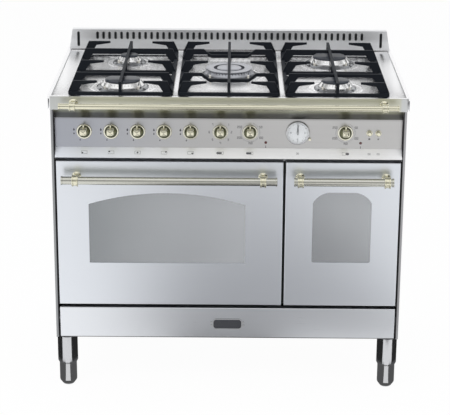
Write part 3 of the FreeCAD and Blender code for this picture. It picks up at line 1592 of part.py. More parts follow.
make_hob_top()
make_backsplash()
make_side_panels()
make_back_panel()
make_base_frame()
make_front_frame()
make_cavity("main", main_middle, s.main_cavity_width)
make_cavity("small", small_middle, s.small_cavity_width)
make_shelf("main", main_middle, s.main_cavity_width, s.main_shelf_depth)
make_shelf("small", small_middle, s.small_cavity_width, s.small_shelf_depth)
make_heating_elements()
make_fan()
window_left = main_door_x[0] + s.window_inset
make_door("main", main_door_x, window_main(), (window_left, window_left + s.window_width),
          (s.window_bottom, s.window_side_top + s.window_rise))
half_small = s.small_window_width / 2
make_door("small", small_door_x, window_small(), (small_middle - half_small, small_middle + half_small),
          (s.small_window_bottom, s.small_window_side_top + s.small_window_rise))
make_handles()
make_rail()
make_control_panel()
make_bezels()
for knob_number, knob_x in enumerate(knob_places):
    make_knob(knob_number, knob_x)
make_tap_rail()
make_clock()
make_lamps()
make_buttons()
make_drawer()
make_feet()
make_grate("pan_support_left", -s.grate_outer, -s.grate_inner, False)
make_grate("pan_support_centre", -s.grate_centre, s.grate_centre, True)
make_grate("pan_support_right", s.grate_inner, s.grate_outer, False)
make_burners()

doc.recompute()

# Check every object, then write one file for each sub-part

for item in doc.Objects:
    if "Invalid" in item.State or "Error" in item.State:
        raise RuntimeError("failed object: {} {}".format(item.Label, item.State))
os.makedirs("parts", exist_ok=True)
for item in nodes:
    if item.Shape.isNull() or not item.Shape.isValid():
        raise RuntimeError("bad shape: " + item.Label)
for item in nodes:
    item.Shape.exportStep("parts/{}.step".format(item.Label))
print("sub-parts:", len(nodes))
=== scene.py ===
# %% [markdown]
# # A range cooker in steel, brass and cast iron
#
# The construction model comes first and is never moved: every piece is in its place, in
# metres, with the floor at zero and the front towards -Y. Here sheet metal keeps its mesh and
# gets a finish; turned, cast and pressed pieces are made again with finer curves.

# %% Load the construction model
import json
import math

import bmesh
import bpy
import numpy as np
from mathutils import Matrix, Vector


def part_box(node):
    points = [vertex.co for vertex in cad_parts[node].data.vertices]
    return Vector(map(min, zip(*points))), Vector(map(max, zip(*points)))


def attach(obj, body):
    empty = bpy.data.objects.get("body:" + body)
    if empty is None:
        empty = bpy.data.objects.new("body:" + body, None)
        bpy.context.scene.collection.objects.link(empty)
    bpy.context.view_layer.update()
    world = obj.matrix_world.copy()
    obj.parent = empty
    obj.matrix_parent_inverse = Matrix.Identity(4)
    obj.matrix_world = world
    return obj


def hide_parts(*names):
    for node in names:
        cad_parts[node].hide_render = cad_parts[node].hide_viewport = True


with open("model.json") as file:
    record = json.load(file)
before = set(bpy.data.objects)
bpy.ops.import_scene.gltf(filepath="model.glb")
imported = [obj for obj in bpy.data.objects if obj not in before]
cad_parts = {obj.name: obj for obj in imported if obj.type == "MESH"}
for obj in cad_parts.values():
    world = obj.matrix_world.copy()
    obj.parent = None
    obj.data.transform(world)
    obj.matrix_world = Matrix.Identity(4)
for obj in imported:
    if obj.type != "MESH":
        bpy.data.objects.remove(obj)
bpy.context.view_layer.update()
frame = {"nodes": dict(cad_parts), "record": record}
body_of = {node: body for body, nodes in frame["record"]["behaviour"]["bodies"].items()
           for node in nodes}

# %% [markdown]
# ## Where things are
#
# No place is typed in twice. A piece that is made again asks the frame where its node lies,
# so a change in the construction model moves the looks with it.

# %% Read places from the frame
MM = 0.001


def low(node):
    """Lowest corner of a node."""
    return np.array(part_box(node)[0])


def high(node):
    """Highest corner of a node."""
    return np.array(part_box(node)[1])


def middle(node):
    """Middle of a node's box."""
    return (low(node) + high(node)) / 2


def half_size(node, axis):
    """Half a node's size along axis 0, 1 or 2."""
    return (high(node)[axis] - low(node)[axis]) / 2


fascia_y = low("hob_top")[1]
hob_z = high("hob_top")[2]
panel_y = high("knob_bezels")[1]
knob_z = middle("knob_bezels")[2]
door_y = low("door_skin_main")[1]
foot_nodes = ["foot_front_left", "foot_front_right", "foot_rear_left", "foot_rear_right"]
print("fascia", round(fascia_y, 4), "panel", round(panel_y, 4), "knobs at", round(knob_z, 4))

# %% [markdown]
# ## Camera
#
# The photograph was taken from a good way off with a long lens, from above the hob, and the
# camera leaned a hair. Lens, distance, tilt and lean come from a fit to the hob's corners, the
# doors' gaps, the body's outline and the feet. A shift centres the picture.

# %% Camera
PHOTO_WIDTH = 450
CENTRE_LINE_OFFSET = 7          # pixels from the picture's middle to the cooker's centre line
LENS = 129.7
CAMERA_X = 0.011
CAMERA_DISTANCE = 4.33
CAMERA_HEIGHT = 1.979
TILT = 18.17
LEAN = 0.42

camera_data = bpy.data.cameras.new("camera")
camera_data.lens = LENS
camera_data.shift_x = -CENTRE_LINE_OFFSET / PHOTO_WIDTH
camera = bpy.data.objects.new("camera", camera_data)
camera.location = (CAMERA_X, fascia_y - CAMERA_DISTANCE, CAMERA_HEIGHT)
look = Matrix.Rotation(math.radians(90 - TILT), 3, "X") @ Matrix.Rotation(math.radians(LEAN), 3, "Z")
camera.rotation_euler = look.to_euler()
bpy.context.scene.collection.objects.link(camera)
bpy.context.scene.camera = camera
bpy.context.scene.view_settings.view_transform = "Standard"

# %% [markdown]
# ## Shader sums as Python
#
# A procedural finish is arithmetic on a few noise patterns. `Wire` wraps one socket, and
# adding or multiplying wires adds Math nodes, so a finish reads like a formula.

# %% Shader helpers
WHITE = (1, 1, 1, 1)


def linear(colour):
    """A screen triple, 0 to 255, as a shader's linear colour; anything else stays as it is."""
    if isinstance(colour, Wire) or len(colour) > 3:
        return colour
    level = np.array(colour) / 255
    return (*np.where(level <= 0.04045, level / 12.92, ((level + 0.055) / 1.055) ** 2.4).tolist(), 1.0)


def shade(colour, share):
    """A colour made darker or lighter, up to full white."""
    return tuple(min(1.0, share * c) for c in linear(colour)[:3]) + (1,)


class Wire:
    """One socket of a node tree, with arithmetic."""

    def __init__(self, paint, socket):
        self.paint = paint
        self.socket = socket

    def math(self, operation, *others):
        """A Math node on this wire and the others."""
        return self.paint.add("Math", {"operation": operation}, enumerate((self, *others)))

    def __add__(self, other):
        return self.math("ADD", other)

    def __sub__(self, other):
        return self.math("SUBTRACT", other)

    def __rsub__(self, other):
        return self.paint.add("Math", {"operation": "SUBTRACT"}, {0: other, 1: self})

    def __mul__(self, other):
        return self.math("MULTIPLY", other)

    def step(self, start, end):
        """0 below start, 1 above end, smooth between."""
        return self.paint.add("MapRange", {"interpolation_type": "SMOOTHSTEP"},
                              {"Value": self, "From Min": start, "From Max": end})

    __radd__ = __add__
    __rmul__ = __mul__


class Paint:
    """The nodes of one new material, or of a world."""

    def __init__(self, name, kind=bpy.data.materials):
        self.owner = kind.new(name)
        self.owner.use_nodes = True
        self.tree = self.owner.node_tree
        self.tree.nodes.clear()

    def add(self, kind, settings=(), inputs=(), output=0):
        """Any node: its type, its settings, then the values or wires of its sockets."""
        node = self.tree.nodes.new("ShaderNode" + kind)
        for name, value in dict(settings).items():
            setattr(node, name, value)
        for name, value in dict(inputs).items():
            if isinstance(value, Wire):
                self.tree.links.new(value.socket, node.inputs[name])
            else:
                node.inputs[name].default_value = value
        return Wire(self, node.outputs[output]) if node.outputs else None

    def place(self):
        """Position on the piece, in metres, as x, y and z wires."""
        point = self.add("TexCoord", output="Object")
        return [self.add("SeparateXYZ", {}, {0: point}, axis) for axis in range(3)]

    def noise(self, scale, detail, roughness, stretch=(1.0, 1.0, 1.0)):
        """Noise on Object coordinates, stretched along the axes."""
        mapped = self.add("Mapping", {}, {"Vector": self.add("TexCoord", output="Object"), "Scale": stretch})
        return self.add("TexNoise", {}, {"Vector": mapped, "Scale": scale, "Detail": detail,
                                         "Roughness": roughness})

    def streaks(self, stretch=(6.0, 900.0, 900.0), detail=4.0, roughness=0.6):
        """Brushing: thin streaks, long on the axis with the smallest stretch."""
        return self.noise(1.0, detail, roughness, stretch)

    def cloud(self, detail=2.0):
        """Broad, faint clouding."""
        return self.noise(1.0, detail, 0.5, (3.0, 3.0, 3.0))

    def direct(self):
        """1 for rays from the camera, from gloss and through glass, 0 for soft light."""
        seen, gloss, through = (self.add("LightPath", output="Is %s Ray" % ray)
                                for ray in ("Camera", "Glossy", "Transmission"))
        return seen.math("MAXIMUM", gloss).math("MAXIMUM", through)

    def mix(self, base, *layers):
        """A colour with others laid over it: each layer is a mask and its colour."""
        for mask, colour in layers:
            base = self.add("Mix", {"data_type": "RGBA"}, {0: mask, 6: linear(base), 7: linear(colour)}, 2)
        return base

    def bump(self, height, strength=0.05, distance=0.0002):
        """Small unevenness: a normal from a height pattern, distance in metres."""
        return self.add("Bump", {}, {"Height": height, "Strength": strength, "Distance": distance})

    def surface(self, colour, rough, **others):
        """Finish with one Principled shader; underscores in names stand for spaces."""
        inputs = {"Base Color": colour, "Roughness": rough}
        inputs |= {name.replace("_", " "): value for name, value in others.items()}
        return self.close(self.add("BsdfPrincipled", {}, inputs))

    def glow(self, colour):
        """An even light of one colour."""
        return self.add("Emission", {}, {"Color": colour, "Strength": 1.0})

    def close(self, shader, end="OutputMaterial"):
        """Wire a shader to the output."""
        self.add(end, {}, {"Surface": shader})
        return self.owner

# %% [markdown]
# ## Floor, background and light
#
# The photograph is a catalogue cut-out on white. A pale floor keeps the shadow under the
# cooker. Metal is only as good as what it mirrors, so grey cards stand where a photographer
# would put them; dark cards on the floor under the cooker and round its feet are painted shade
# for the floor's shadow. All of them are seen in reflections alone.

# %% Floor and world
GLOW_SHARE = 0.97               # part of the floor's brightness that is plain white
FLOOR_HALF = 30.0
SOFT_SKY = (0.62, 0.63, 0.65, 1)
ROUND = np.linspace(0, 2 * math.pi, 24, endpoint=False)


def floor_finish():
    """Matt pale floor; rays from the camera and from gloss also see a plain white share."""
    paint = Paint("floor_pale")
    matt = paint.add("BsdfDiffuse", {}, {"Color": linear((236, 236, 236))})
    return paint.close(paint.add("MixShader", {}, {0: paint.direct() * GLOW_SHARE, 1: matt,
                                                   2: paint.glow(WHITE)}))


def rectangle(*spans):
    """Four corners from the spans in x, y and z, one of which is a single number."""
    turns = iter(((0, 1, 1, 0), (0, 0, 1, 1)))
    return list(zip(*([span[end] for end in next(turns)] if isinstance(span, tuple) else [span] * 4
                      for span in spans)))


def circle(centre, radius, t=ROUND):
    """Points on a circle at the angles t."""
    return np.array(centre) + radius * np.stack([np.cos(t), np.sin(t)], 1)


def new_object(name, mesh, finish):
    """An object in the scene, with one finish."""
    mesh.materials.clear()
    mesh.materials.append(finish)
    item = bpy.data.objects.new(name, mesh)
    bpy.context.scene.collection.objects.link(item)
    return item


def flat_card(name, corners, finish):
    """A flat sheet with any number of corners."""
    mesh = bpy.data.meshes.new(name)
    mesh.from_pydata(corners, [], [range(len(corners))])
    card = new_object(name, mesh, finish)
    return card


flat_card("floor", rectangle((-FLOOR_HALF, FLOOR_HALF), (-FLOOR_HALF, FLOOR_HALF), 0), floor_finish())
studio = Paint("studio", bpy.data.worlds)
sky = studio.mix(SOFT_SKY, (studio.direct(), WHITE))
bpy.context.scene.world = studio.close(studio.add("Background", {}, {"Color": sky}), "OutputWorld")

# %% [markdown]
# ## Lamps and cards
#
# Three square soft boxes light the cooker. Gloss sees the sky and the cards in their stead:
# one card shades the fronts, the others the hob, the cove, the sides and the feet.

# %% Lamps and cards
KEY_PLACE, FILL_PLACE, TOP_PLACE = (-2.2, -2.6, 3.2), (2.6, -2.2, 2.4), (0, 0.4, 3.4)
DOOR_AIM, HOB_AIM = (0, 0, 0.5), (0, 0, 0.8)
CARD_LIFT = 0.002
CARD_SKEW = -0.25               # how far the grey leans left for each metre further out
CARD_SKEW_FROM = 0.7
WALL_Y, WALL_HALF = -7.0, 7.0
CEILING_Z = 3.2
FOOT_CARD_LIFT = 0.003
FOOT_FAN_LIFT = FOOT_CARD_LIFT * 1.5
FOOT_CARD_REACH = 0.20
FOOT_CARD_DISC = 0.045
GAP_HALF_ANGLE = math.radians(26)


def lamp(name, place, aim, size, power):
    """A square soft box that looks at a point; gloss sees the cards and the sky in its stead."""
    data = bpy.data.lights.new(name, "AREA")
    data.shape = "SQUARE"
    data.size = size
    data.energy = power
    item = bpy.data.objects.new(name, data)
    item.location = place
    way = np.array(aim) - np.array(place)
    item.rotation_euler = (math.acos(-way[2] / np.linalg.norm(way)), 0,
                           math.atan2(way[1], way[0]) - math.pi / 2)
    item.visible_glossy = False
    bpy.context.scene.collection.objects.link(item)


def card_finish(name, level):
    """A card that sends out one even grey."""
    paint = Paint(name)
    return paint.close(paint.glow((level, level, level, 1)))


def graded_card_finish(name, level):
    """White at both sides and grey between them; the grey leans left as it goes further out."""
    paint = Paint(name)
    x, y, _ = paint.place()
    skewed = x + (y + CARD_SKEW_FROM) * CARD_SKEW
    grey = x.step(-0.52, -0.08) * (1 - skewed.step(0.45, 0.90))
    return paint.close(paint.glow(paint.mix(WHITE, (grey, (level, level, level * 1.02, 1)))))


def mirror_card(name, corners, finish):
    """A card that gloss sees and nothing else does."""
    card = flat_card(name, corners, finish)
    for ray in ("camera", "diffuse", "shadow", "transmission"):
        setattr(card, "visible_" + ray, False)


lamp("key", KEY_PLACE, DOOR_AIM, 1.6, 60)
lamp("fill", FILL_PLACE, DOOR_AIM, 1.6, 34)
lamp("top", TOP_PLACE, HOB_AIM, 1.8, 34)

wall_card = card_finish("card_wall", 0.42)
dark_card = card_finish("card_dark", 0.03)
# Painted shadow: a dark grey for the cards round the feet.
foot_shadow_card = card_finish("card_foot", 0.13)
fronts_card = graded_card_finish("card_fronts", 0.36)
ceiling_card = card_finish("card_ceiling", 0.35)
mirror_card("card_before", rectangle((-1.4, 1.6), (-4.6, -0.62), CARD_LIFT), fronts_card)
mirror_card("card_beyond", rectangle((-WALL_HALF, WALL_HALF), WALL_Y, (0.25, 6.0)), wall_card)
# Painted shade: a dark card on the floor under the cooker and just in front of it stands in for the floor's
# shadow in reflections.
under = [(-0.43, -0.26), (-0.12, -0.60), (0.12, -0.60), (0.43, -0.26), (0.43, 0.30), (-0.43, 0.30)]
mirror_card("card_under", [(x, y, CARD_LIFT) for x, y in under], dark_card)
mirror_card("card_above", rectangle((-3.0, 3.0), (-0.4, 1.0), CEILING_Z), ceiling_card)
mirror_card("card_right", rectangle(1.6, (-2.4, -0.9), (0.2, 1.7)), dark_card)
beside = [(0.50, -0.28), (1.00, -0.60), (1.30, 0.30), (0.50, 0.30)]
for side in (-1, 1):
    mirror_card("card_side", [(side * x, y, CARD_LIFT) for x, y in beside], dark_card)
# Painted shadow: a dark disc round each foot, and a fan in front of each front foot, stand in for the feet's
# contact shadow in reflections.
for node in foot_nodes:
    foot_spot = middle(node)[:2]
    mirror_card("card_foot_disc", [(*point, FOOT_CARD_LIFT) for point in circle(foot_spot, FOOT_CARD_DISC)],
                foot_shadow_card)
    if "front" in node:
        t = np.linspace(-math.pi / 2 + GAP_HALF_ANGLE, 3 * math.pi / 2 - GAP_HALF_ANGLE, 24)
        fan = [foot_spot, *circle(foot_spot, FOOT_CARD_REACH, t)]
        mirror_card("card_foot_fan", [(*point, FOOT_FAN_LIFT) for point in fan], foot_shadow_card)

# %% [markdown]
# ## Finishes
#
# Brushed steel is a metal whose roughness changes in long thin streaks. The streaks follow
# the brushing: along X on fronts. Brass, cast iron and enamel each get their own small
# unevenness, because a surface with one single roughness looks like plastic.

# %% Finishes with one colour
def brushed(name, colour, rough, painted_shade_below=None):
    """Brushed sheet: fine streaks along X and broad, faint clouding; below a given height the rolled lower
    edge is painted grey as shade.
    """
    paint = Paint(name)
    streak, cloud = paint.streaks(), paint.cloud()
    base = paint.mix(shade(colour, 0.90), (streak * 0.10 + cloud * 0.06 + 0.42, shade(colour, 1.10)))
    # Painted shade: the rolled lower edge below this height is grey.
    if painted_shade_below:
        flat = paint.place()[2].step(painted_shade_below - 0.5 * MM, painted_shade_below + 0.5 * MM)
        base = paint.mix((150, 151, 153), (flat, base))
    return paint.surface(base, streak * 0.12 + (rough - 0.06), Metallic=1.0, Normal=paint.bump(streak))


def plain_metal(name, colour, rough, grain=0.04, scale=160.0, bump=0.02):
    """Polished or cast metal: even colour, slightly uneven polish."""
    paint = Paint(name)
    grit, smear = paint.noise(scale, 3.0, 0.55), paint.noise(9.0, 2.0, 0.5)
    return paint.surface(paint.mix(shade(colour, 0.93), (smear * 0.5 + 0.25, colour)),
                         grit * grain + smear * grain + (rough - grain), Metallic=1.0,
                         Normal=paint.bump(grit, bump, 0.0003))


def enamel(name, colour, rough, bump=0.12, scale=420.0, coat=0.0, gloss=0.5):
    """Painted or enamelled iron: a dark even coat with a fine pebble."""
    paint = Paint(name)
    pebble, cloud = paint.noise(scale, 2.0, 0.5), paint.noise(14.0, 3.0, 0.6)
    return paint.surface(paint.mix(shade(colour, 0.75), (cloud, colour)), cloud * 0.10 + (rough - 0.05),
                         Specular_IOR_Level=gloss, Coat_Weight=coat, Normal=paint.bump(pebble, bump, 0.0004))


def oven_glass(name, colour, rough, right_painted_reflection):
    """Mirror-coated glass that lets a little of the oven through; its colour runs from one colour at
    the main window's left end to another at its right end, a painted reflection."""
    paint = Paint(name)
    smear = paint.noise(5.0, 3.0, 0.5)
    # Painted reflection: a ramp from the left colour to the right one across the main window.
    along = paint.place()[0].step(low("door_glass_main")[0] - 0.05, high("door_glass_main")[0])
    base = paint.mix(colour, (along, right_painted_reflection), (smear * 0.15, (0.05, 0.05, 0.05, 1)))
    return paint.surface(base, smear * 0.04 + rough, Metallic=0.75, Coat_Weight=0.5, Alpha=0.93)


def clear_glass(name):
    """Thin clear pane: nearly see-through, with a hard gloss on top."""
    paint = Paint(name)
    return paint.surface(linear((240, 244, 246)), paint.noise(60.0, 2.0, 0.5) * 0.02 + 0.02, Alpha=0.12,
                         Coat_Weight=1.0)


def print_ink(name, colour):
    """Screen-printed ink: matt, a touch uneven."""
    paint = Paint(name)
    speck = paint.noise(1500.0, 2.0, 0.6)
    return paint.surface(paint.mix(shade(colour, 0.8), (speck, colour)), speck * 0.1 + 0.5)

# %% [markdown]
# ## Finishes that follow the sheet's shape
#
# A folded sheet catches the studio differently on each face; several of these finishes paint
# that light and shade into the colour. They read the place on the sheet, so one material covers
# a face, its lip and its folded edge.

# %% Finishes with zones
EDGE_BLEND = 0.8 * MM
# PANEL_LEFT is where the painted reflection on the panel's left end is darkest.
PANEL_LEFT = -0.48              # where the panel's left end is at its dimmest
PANEL_LOW = low("control_panel")[2] + 25 * MM
PANEL_HIGH = high("control_panel")[2] - 31 * MM
COVE_TOP = high("control_panel")[2]
COVE_PAINTED_REFLECTION = COVE_TOP - 15 * MM
PAINTED_SHADE_EDGE = 488 * MM
CASE_BOTTOM = low("side_panels")[2]


def panel_steel():
    """The control panel, with painted reflection, light and shade: brightest in the middle, a lip painted
    pale below, a painted shade band at the top of its face and a cove painted dark above.
    """
    paint = Paint("steel_panel")
    x, _, z = paint.place()
    streak, cloud = paint.streaks(), paint.cloud()
    # Painted reflection: darker towards the left end, brightest in the middle, a touch darker to the right.
    left = x.step(PANEL_LEFT, 0.0)
    lip = 1 - z.step(PANEL_LOW - EDGE_BLEND, PANEL_LOW)
    # The lip is painted near white as light, bluer at the left end; a band at the top of the face is painted
    # shade; the cove is painted dark as shade, paler and warmer near its top as a painted reflection of the
    # rail. The streaks are grain.
    base = paint.mix((174, 177, 186), (left, (216, 215, 214)), (x.step(0.1, 0.42), (205, 204, 203)),
                     (lip, paint.mix((238, 242, 250), (left, (254, 254, 255)))),
                     (z.step(PANEL_HIGH - 7 * MM, PANEL_HIGH - 1 * MM) * 0.35, (140, 140, 140)),
                     (z.step(PANEL_HIGH, PANEL_HIGH + EDGE_BLEND),
                      paint.mix((118, 118, 112), (z.step(COVE_PAINTED_REFLECTION, COVE_TOP), (196, 196, 170)))),
                     (streak * 0.16 + cloud * 0.06, (168, 170, 172)))
    return paint.surface(base, streak * 0.12 + lip * 0.08 + 0.24, Metallic=lip * -0.2 + 1,
                         Normal=paint.bump(streak))


def hob_steel():
    """Bright pressed hob whose front band is brushed rougher than its top and painted darker and khaki, a
    painted reflection of the brass rail, greyer at the left end and paler at the right end.
    """
    paint = Paint("steel_hob")
    x, y, _ = paint.place()
    streak, cloud = paint.streaks((2.0, 900.0, 900.0), 3.0, 0.5), paint.cloud(1.0)
    band = 1 - y.step(fascia_y + 0.2 * MM, fascia_y + 0.8 * MM)
    # Painted reflection on the front band: khaki from the brass rail, greyer at the left end, paler at the
    # right end.
    front = paint.mix((204, 206, 204), (x.step(-0.5, -0.36), (222, 222, 206)),
                      (x.step(0.47, 0.48), (224, 226, 226)))
    base = paint.mix((250, 250, 251), (band, front), (streak * 0.08 + cloud * 0.06, (200, 202, 204)))
    return paint.surface(base, streak * 0.02 + band * 0.16 + 0.24, Metallic=1.0)


def upstand_steel():
    """The slotted sheet behind the hob: pale satin outside, painted dark as shade in the hollow behind the
    slots.
    """
    paint = Paint("steel_upstand")
    x, y, z = paint.place()
    (_, y_low, _), (x_high, y_high, top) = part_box("backsplash")
    hollow = (y.step(y_low + 0.6 * MM, y_low + 1.6 * MM) * (1 - y.step(y_high - 1.6 * MM, y_high - 0.8 * MM))
              * (1 - z.step(top - 1.6 * MM, top - 0.8 * MM))
              * (1 - x.math("ABSOLUTE").step(x_high - 9 * MM, x_high - 8 * MM)))
    foot = 1 - z.step(top - 38 * MM, top - 22 * MM)
    streak = paint.streaks()
    # Painted shade: the hollow behind the slots is painted darker than the outside.
    base = paint.mix((226, 227, 228), (streak, (240, 241, 242)), (hollow, (104, 108, 110)))
    return paint.surface(base, streak * 0.10 + 0.42, Metallic=foot * -0.36 + 0.82, Normal=paint.bump(streak))


def case_steel():
    """Side panels, brushed upright; their folded front edges are painted darker as shade, a little more on
    the left, and near black beside the doors as painted shade of the gap.
    """
    paint = Paint("steel_side")
    x, y, _ = paint.place()
    streak, cloud = paint.streaks((900.0, 900.0, 6.0)), paint.cloud()
    outside = x.math("ABSOLUTE").step(PAINTED_SHADE_EDGE - 0.4 * MM, PAINTED_SHADE_EDGE + 0.4 * MM)
    # Painted shade: the folded front edge is darker, more so on the left, and near black inside it where the
    # gap beside the doors lies.
    edge_painted_shade = paint.mix((160, 162, 164), (x.step(-0.1, 0.1), (178, 178, 180)))
    base = paint.mix((168, 170, 173), (streak * 0.5 + cloud * 0.5, (200, 202, 205)),
                     (1 - y.step(door_y + 4.5 * MM, door_y + 6 * MM),
                      paint.mix((60, 60, 62), (outside, edge_painted_shade))))
    return paint.surface(base, streak * 0.12 + 0.28, Metallic=1.0, Normal=paint.bump(streak))


def chassis_steel():
    """Galvanised folded sheet with a dull crystal cloud; below the case the sleeves are polished."""
    paint = Paint("steel_chassis")
    grit = paint.noise(60.0, 3.0, 0.55)
    sleeve = 1 - paint.place()[2].step(CASE_BOTTOM - 1 * MM, CASE_BOTTOM)
    base = paint.mix((160, 163, 165), (grit, (186, 189, 191)), (sleeve, (208, 209, 212)))
    return paint.surface(base, grit * 0.05 + (1 - sleeve) * 0.30 + 0.10, Metallic=1.0,
                         Normal=paint.bump(grit * (1 - sleeve), 0.10, 0.0003))


def plate_finish():
    """Nameplate casting: a bright frame round a dark bare field that lies lower than the frame."""
    paint = Paint("plate_bare")
    plate_y = low("nameplate")[1]
    field = paint.place()[1].step(plate_y + 0.3 * MM, plate_y + 0.6 * MM)
    cloud = paint.noise(260.0, 2.0, 0.6)
    base = paint.mix((236, 238, 240), (field, paint.mix((52, 53, 58), (cloud, (66, 67, 72)))))
    return paint.surface(base, field * 0.20 + 0.30, Metallic=1 - field, Normal=paint.bump(cloud, 0.10))


def frame_enamel():
    """Black front frame; the strip that shows above the doors is bare steel in its lower half."""
    paint = Paint("enamel_frame")
    z = paint.place()[2]
    door_top = high("door_skin_main")[2]
    strip = (z.step(door_top - 8 * MM, door_top - 7 * MM)
             * (1 - z.step(door_top + 3 * MM, door_top + 4.2 * MM)))
    pebble = paint.noise(420.0, 2.0, 0.5)
    base = paint.mix((26, 26, 29), (pebble, (36, 36, 40)), (strip, (196, 197, 198)))
    return paint.surface(base, pebble * 0.1 + 0.36, Metallic=strip, Normal=paint.bump(pebble, 0.12, 0.0004))


# %% The finishes
# The drawer front gets painted shade on its rolled lower edge, 3 mm up from its bottom.
steel_front = brushed("steel_front", (238, 241, 247), 0.30, low("drawer_front")[2] + 3 * MM)
steel_door = brushed("steel_door", (235, 239, 246), 0.31)
steel_hob = hob_steel()
steel_polished = plain_metal("steel_polished", (206, 207, 209), 0.10)
steel_zinc = plain_metal("steel_zinc", (176, 179, 181), 0.42, 0.10, 60.0, 0.10)
brass = plain_metal("brass_polished", (236, 233, 210), 0.13, 0.05, 220.0)
brass_pale = plain_metal("brass_pale", (214, 214, 205), 0.20, 0.05, 220.0)
# Rougher brass whose dark colour is painted shade, for the knob skirts.
brass_painted_shade = plain_metal("brass_painted_shade", (126, 128, 102), 0.36, 0.08, 220.0)
brass_ring = plain_metal("brass_ring", (247, 245, 228), 0.20, 0.05, 220.0)
aluminium = plain_metal("aluminium_cast", (238, 239, 241), 0.26, 0.06, 300.0, 0.04)
cup_metal = plain_metal("cup_polished", (150, 152, 155), 0.16, 0.05, 300.0)
burner_metal = plain_metal("burner_bright", (250, 250, 250), 0.24, 0.06, 300.0, 0.06)
wok_metal = plain_metal("burner_grey", (186, 188, 194), 0.34, 0.08, 260.0, 0.10)
chrome = plain_metal("chrome_wire", (214, 215, 217), 0.12)
heater_steel = plain_metal("heater_steel", (98, 92, 86), 0.45, 0.08, 90.0, 0.10)
iron = enamel("iron_grate", (33, 36, 41), 0.50, 0.25, 900.0, gloss=0.05)
cap_enamel = enamel("cap_enamel", (42, 47, 56), 0.30, 0.08, 700.0, gloss=0.35)
black_enamel = enamel("enamel_black", (34, 34, 38), 0.38)
cavity_enamel = enamel("enamel_cavity", (62, 62, 68), 0.22, 0.15, 500.0, 0.3)
hand_black = enamel("hand_black", (28, 28, 30), 0.30)
glass_main = oven_glass("glass_main", (143, 147, 150), 0.18, (232, 235, 238))
glass_small = oven_glass("glass_small", (186, 189, 192), 0.18, (186, 189, 192))
glass_clock = clear_glass("glass_clock")
dial_white = enamel("dial_white", (240, 241, 242), 0.30, 0.02, 300.0, 0.4)
ceramic = enamel("ceramic_white", (226, 222, 212), 0.35, 0.05, 800.0)
lamp_red = enamel("lamp_red", (92, 44, 44), 0.12, 0.02, 300.0, 1.0)
ink_grey = print_ink("ink_grey", (70, 70, 76))

# %% Dress the construction nodes
dressed = [
    (case_steel(), "side_panels"), (upstand_steel(), "backsplash"), (panel_steel(), "control_panel"),
    (steel_front, "drawer_front"), (steel_door, "door_skin_"), (steel_hob, "hob_top"),
    (steel_zinc, "back_panel drawer_box gas_rail"), (chassis_steel(), "base_frame"),
    (frame_enamel(), "front_frame"), (black_enamel, "door_liner_"), (cavity_enamel, "oven_cavity_"),
    (brass, "hob_rail knob_ clock_setting_knob push_button_ handle_brackets_"),
    (brass_pale, "handle_bar_"), (aluminium, "burner_"), (glass_main, "door_glass_main"),
    (glass_small, "door_glass_small"), (glass_clock, "clock_glass"), (dial_white, "clock_dial"),
    (chrome, "clock_case oven_shelf_"), (hand_black, "hour_hand minute_hand"),
    (lamp_red, "indicator_lamps"), (heater_steel, "heating_elements fan_"), (plate_finish(), "nameplate"),
    (steel_polished, "foot_"), (iron, "pan_support_"),
]
print("finishes", len(bpy.data.materials))
for node, item in frame["nodes"].items():
    finish, = (finish for finish, starts in dressed if node.startswith(tuple(starts.split())))
    item.data.materials.clear()
    item.data.materials.append(finish)

# %% [markdown]
# ## Shapes from grids
#
# Every new piece is a grid of points worked out at once: rows follow a profile, columns
# follow an outline or a circle. `soften` turns the sharp corners of a profile into arcs,
# because a real edge is always a little round and that is what catches the light.

# %% Shape helpers
def unit(vectors):
    """Vectors, in rows or alone, with their lengths made 1."""
    return vectors / np.linalg.norm(vectors, axis=-1, keepdims=True)


def soften(corners, closed=False, steps=4):
    """Polyline of (a, b) or (a, b, radius) corners with each radius drawn as an arc.

    The arc's centre lies on the corner's bisector, radius / sin(half the corner) away.
    One extra point on each side of an arc keeps the shading of the flats flat.
    """
    spots = np.array([corner[:2] for corner in corners], float)
    runs = []
    for index, (here, corner) in enumerate(zip(spots, corners)):
        if len(corner) < 3 or not closed and index in (0, len(spots) - 1):
            runs.append(here[None])
            continue
        radius = corner[2]
        sides = np.array([spots[index - 1], spots[(index + 1) % len(spots)]]) - here
        back, ahead = unit(sides)
        half = math.acos(np.clip(back @ ahead, -1, 1)) / 2
        reach = radius / math.tan(half)
        centre = here + unit(back + ahead) * radius / math.sin(half)
        first, last = here + back * reach - centre, here + ahead * reach - centre
        sweep = math.pi - 2 * half
        t = np.linspace(0, 1, steps + 1)[:, None]
        arc = centre + (np.sin((1 - t) * sweep) * first + np.sin(t * sweep) * last) / math.sin(sweep)
        lead_in, lead_out = (min(0.4 * radius, 0.3 * max(length - 2 * reach, 0.05 * radius))
                             for length in np.linalg.norm(sides, axis=1))
        runs += [(arc[0] + back * lead_in)[None], arc, (arc[-1] + ahead * lead_out)[None]]
    return np.vstack(runs)


def grid(points, close_rows=False):
    """Quads between neighbouring points of a (rows, columns, 3) grid whose columns close."""
    rows, columns = points.shape[:2]
    index = np.arange(rows * columns).reshape(rows, columns)
    if close_rows:
        index = np.vstack([index, index[:1]])
    index = np.hstack([index, index[:, :1]])
    faces = np.stack([index[:-1, :-1], index[:-1, 1:], index[1:, 1:], index[1:, :-1]], -1)
    return points.reshape(-1, 3), faces.reshape(-1, 4)


TURN = {
    "z": np.eye(3),
    "x": np.array([[0, 0, 1], [0, 1, 0], [-1, 0, 0]]),
    "y": np.array([[1, 0, 0], [0, 0, 1], [0, -1, 0]]),
    "-y": np.array([[1, 0, 0], [0, 0, -1], [0, 1, 0]]),
}


def stand(points, spot, axis):
    """Turn local Z to the named axis and move the origin to a spot."""
    return points @ TURN[axis].T + np.array(spot)


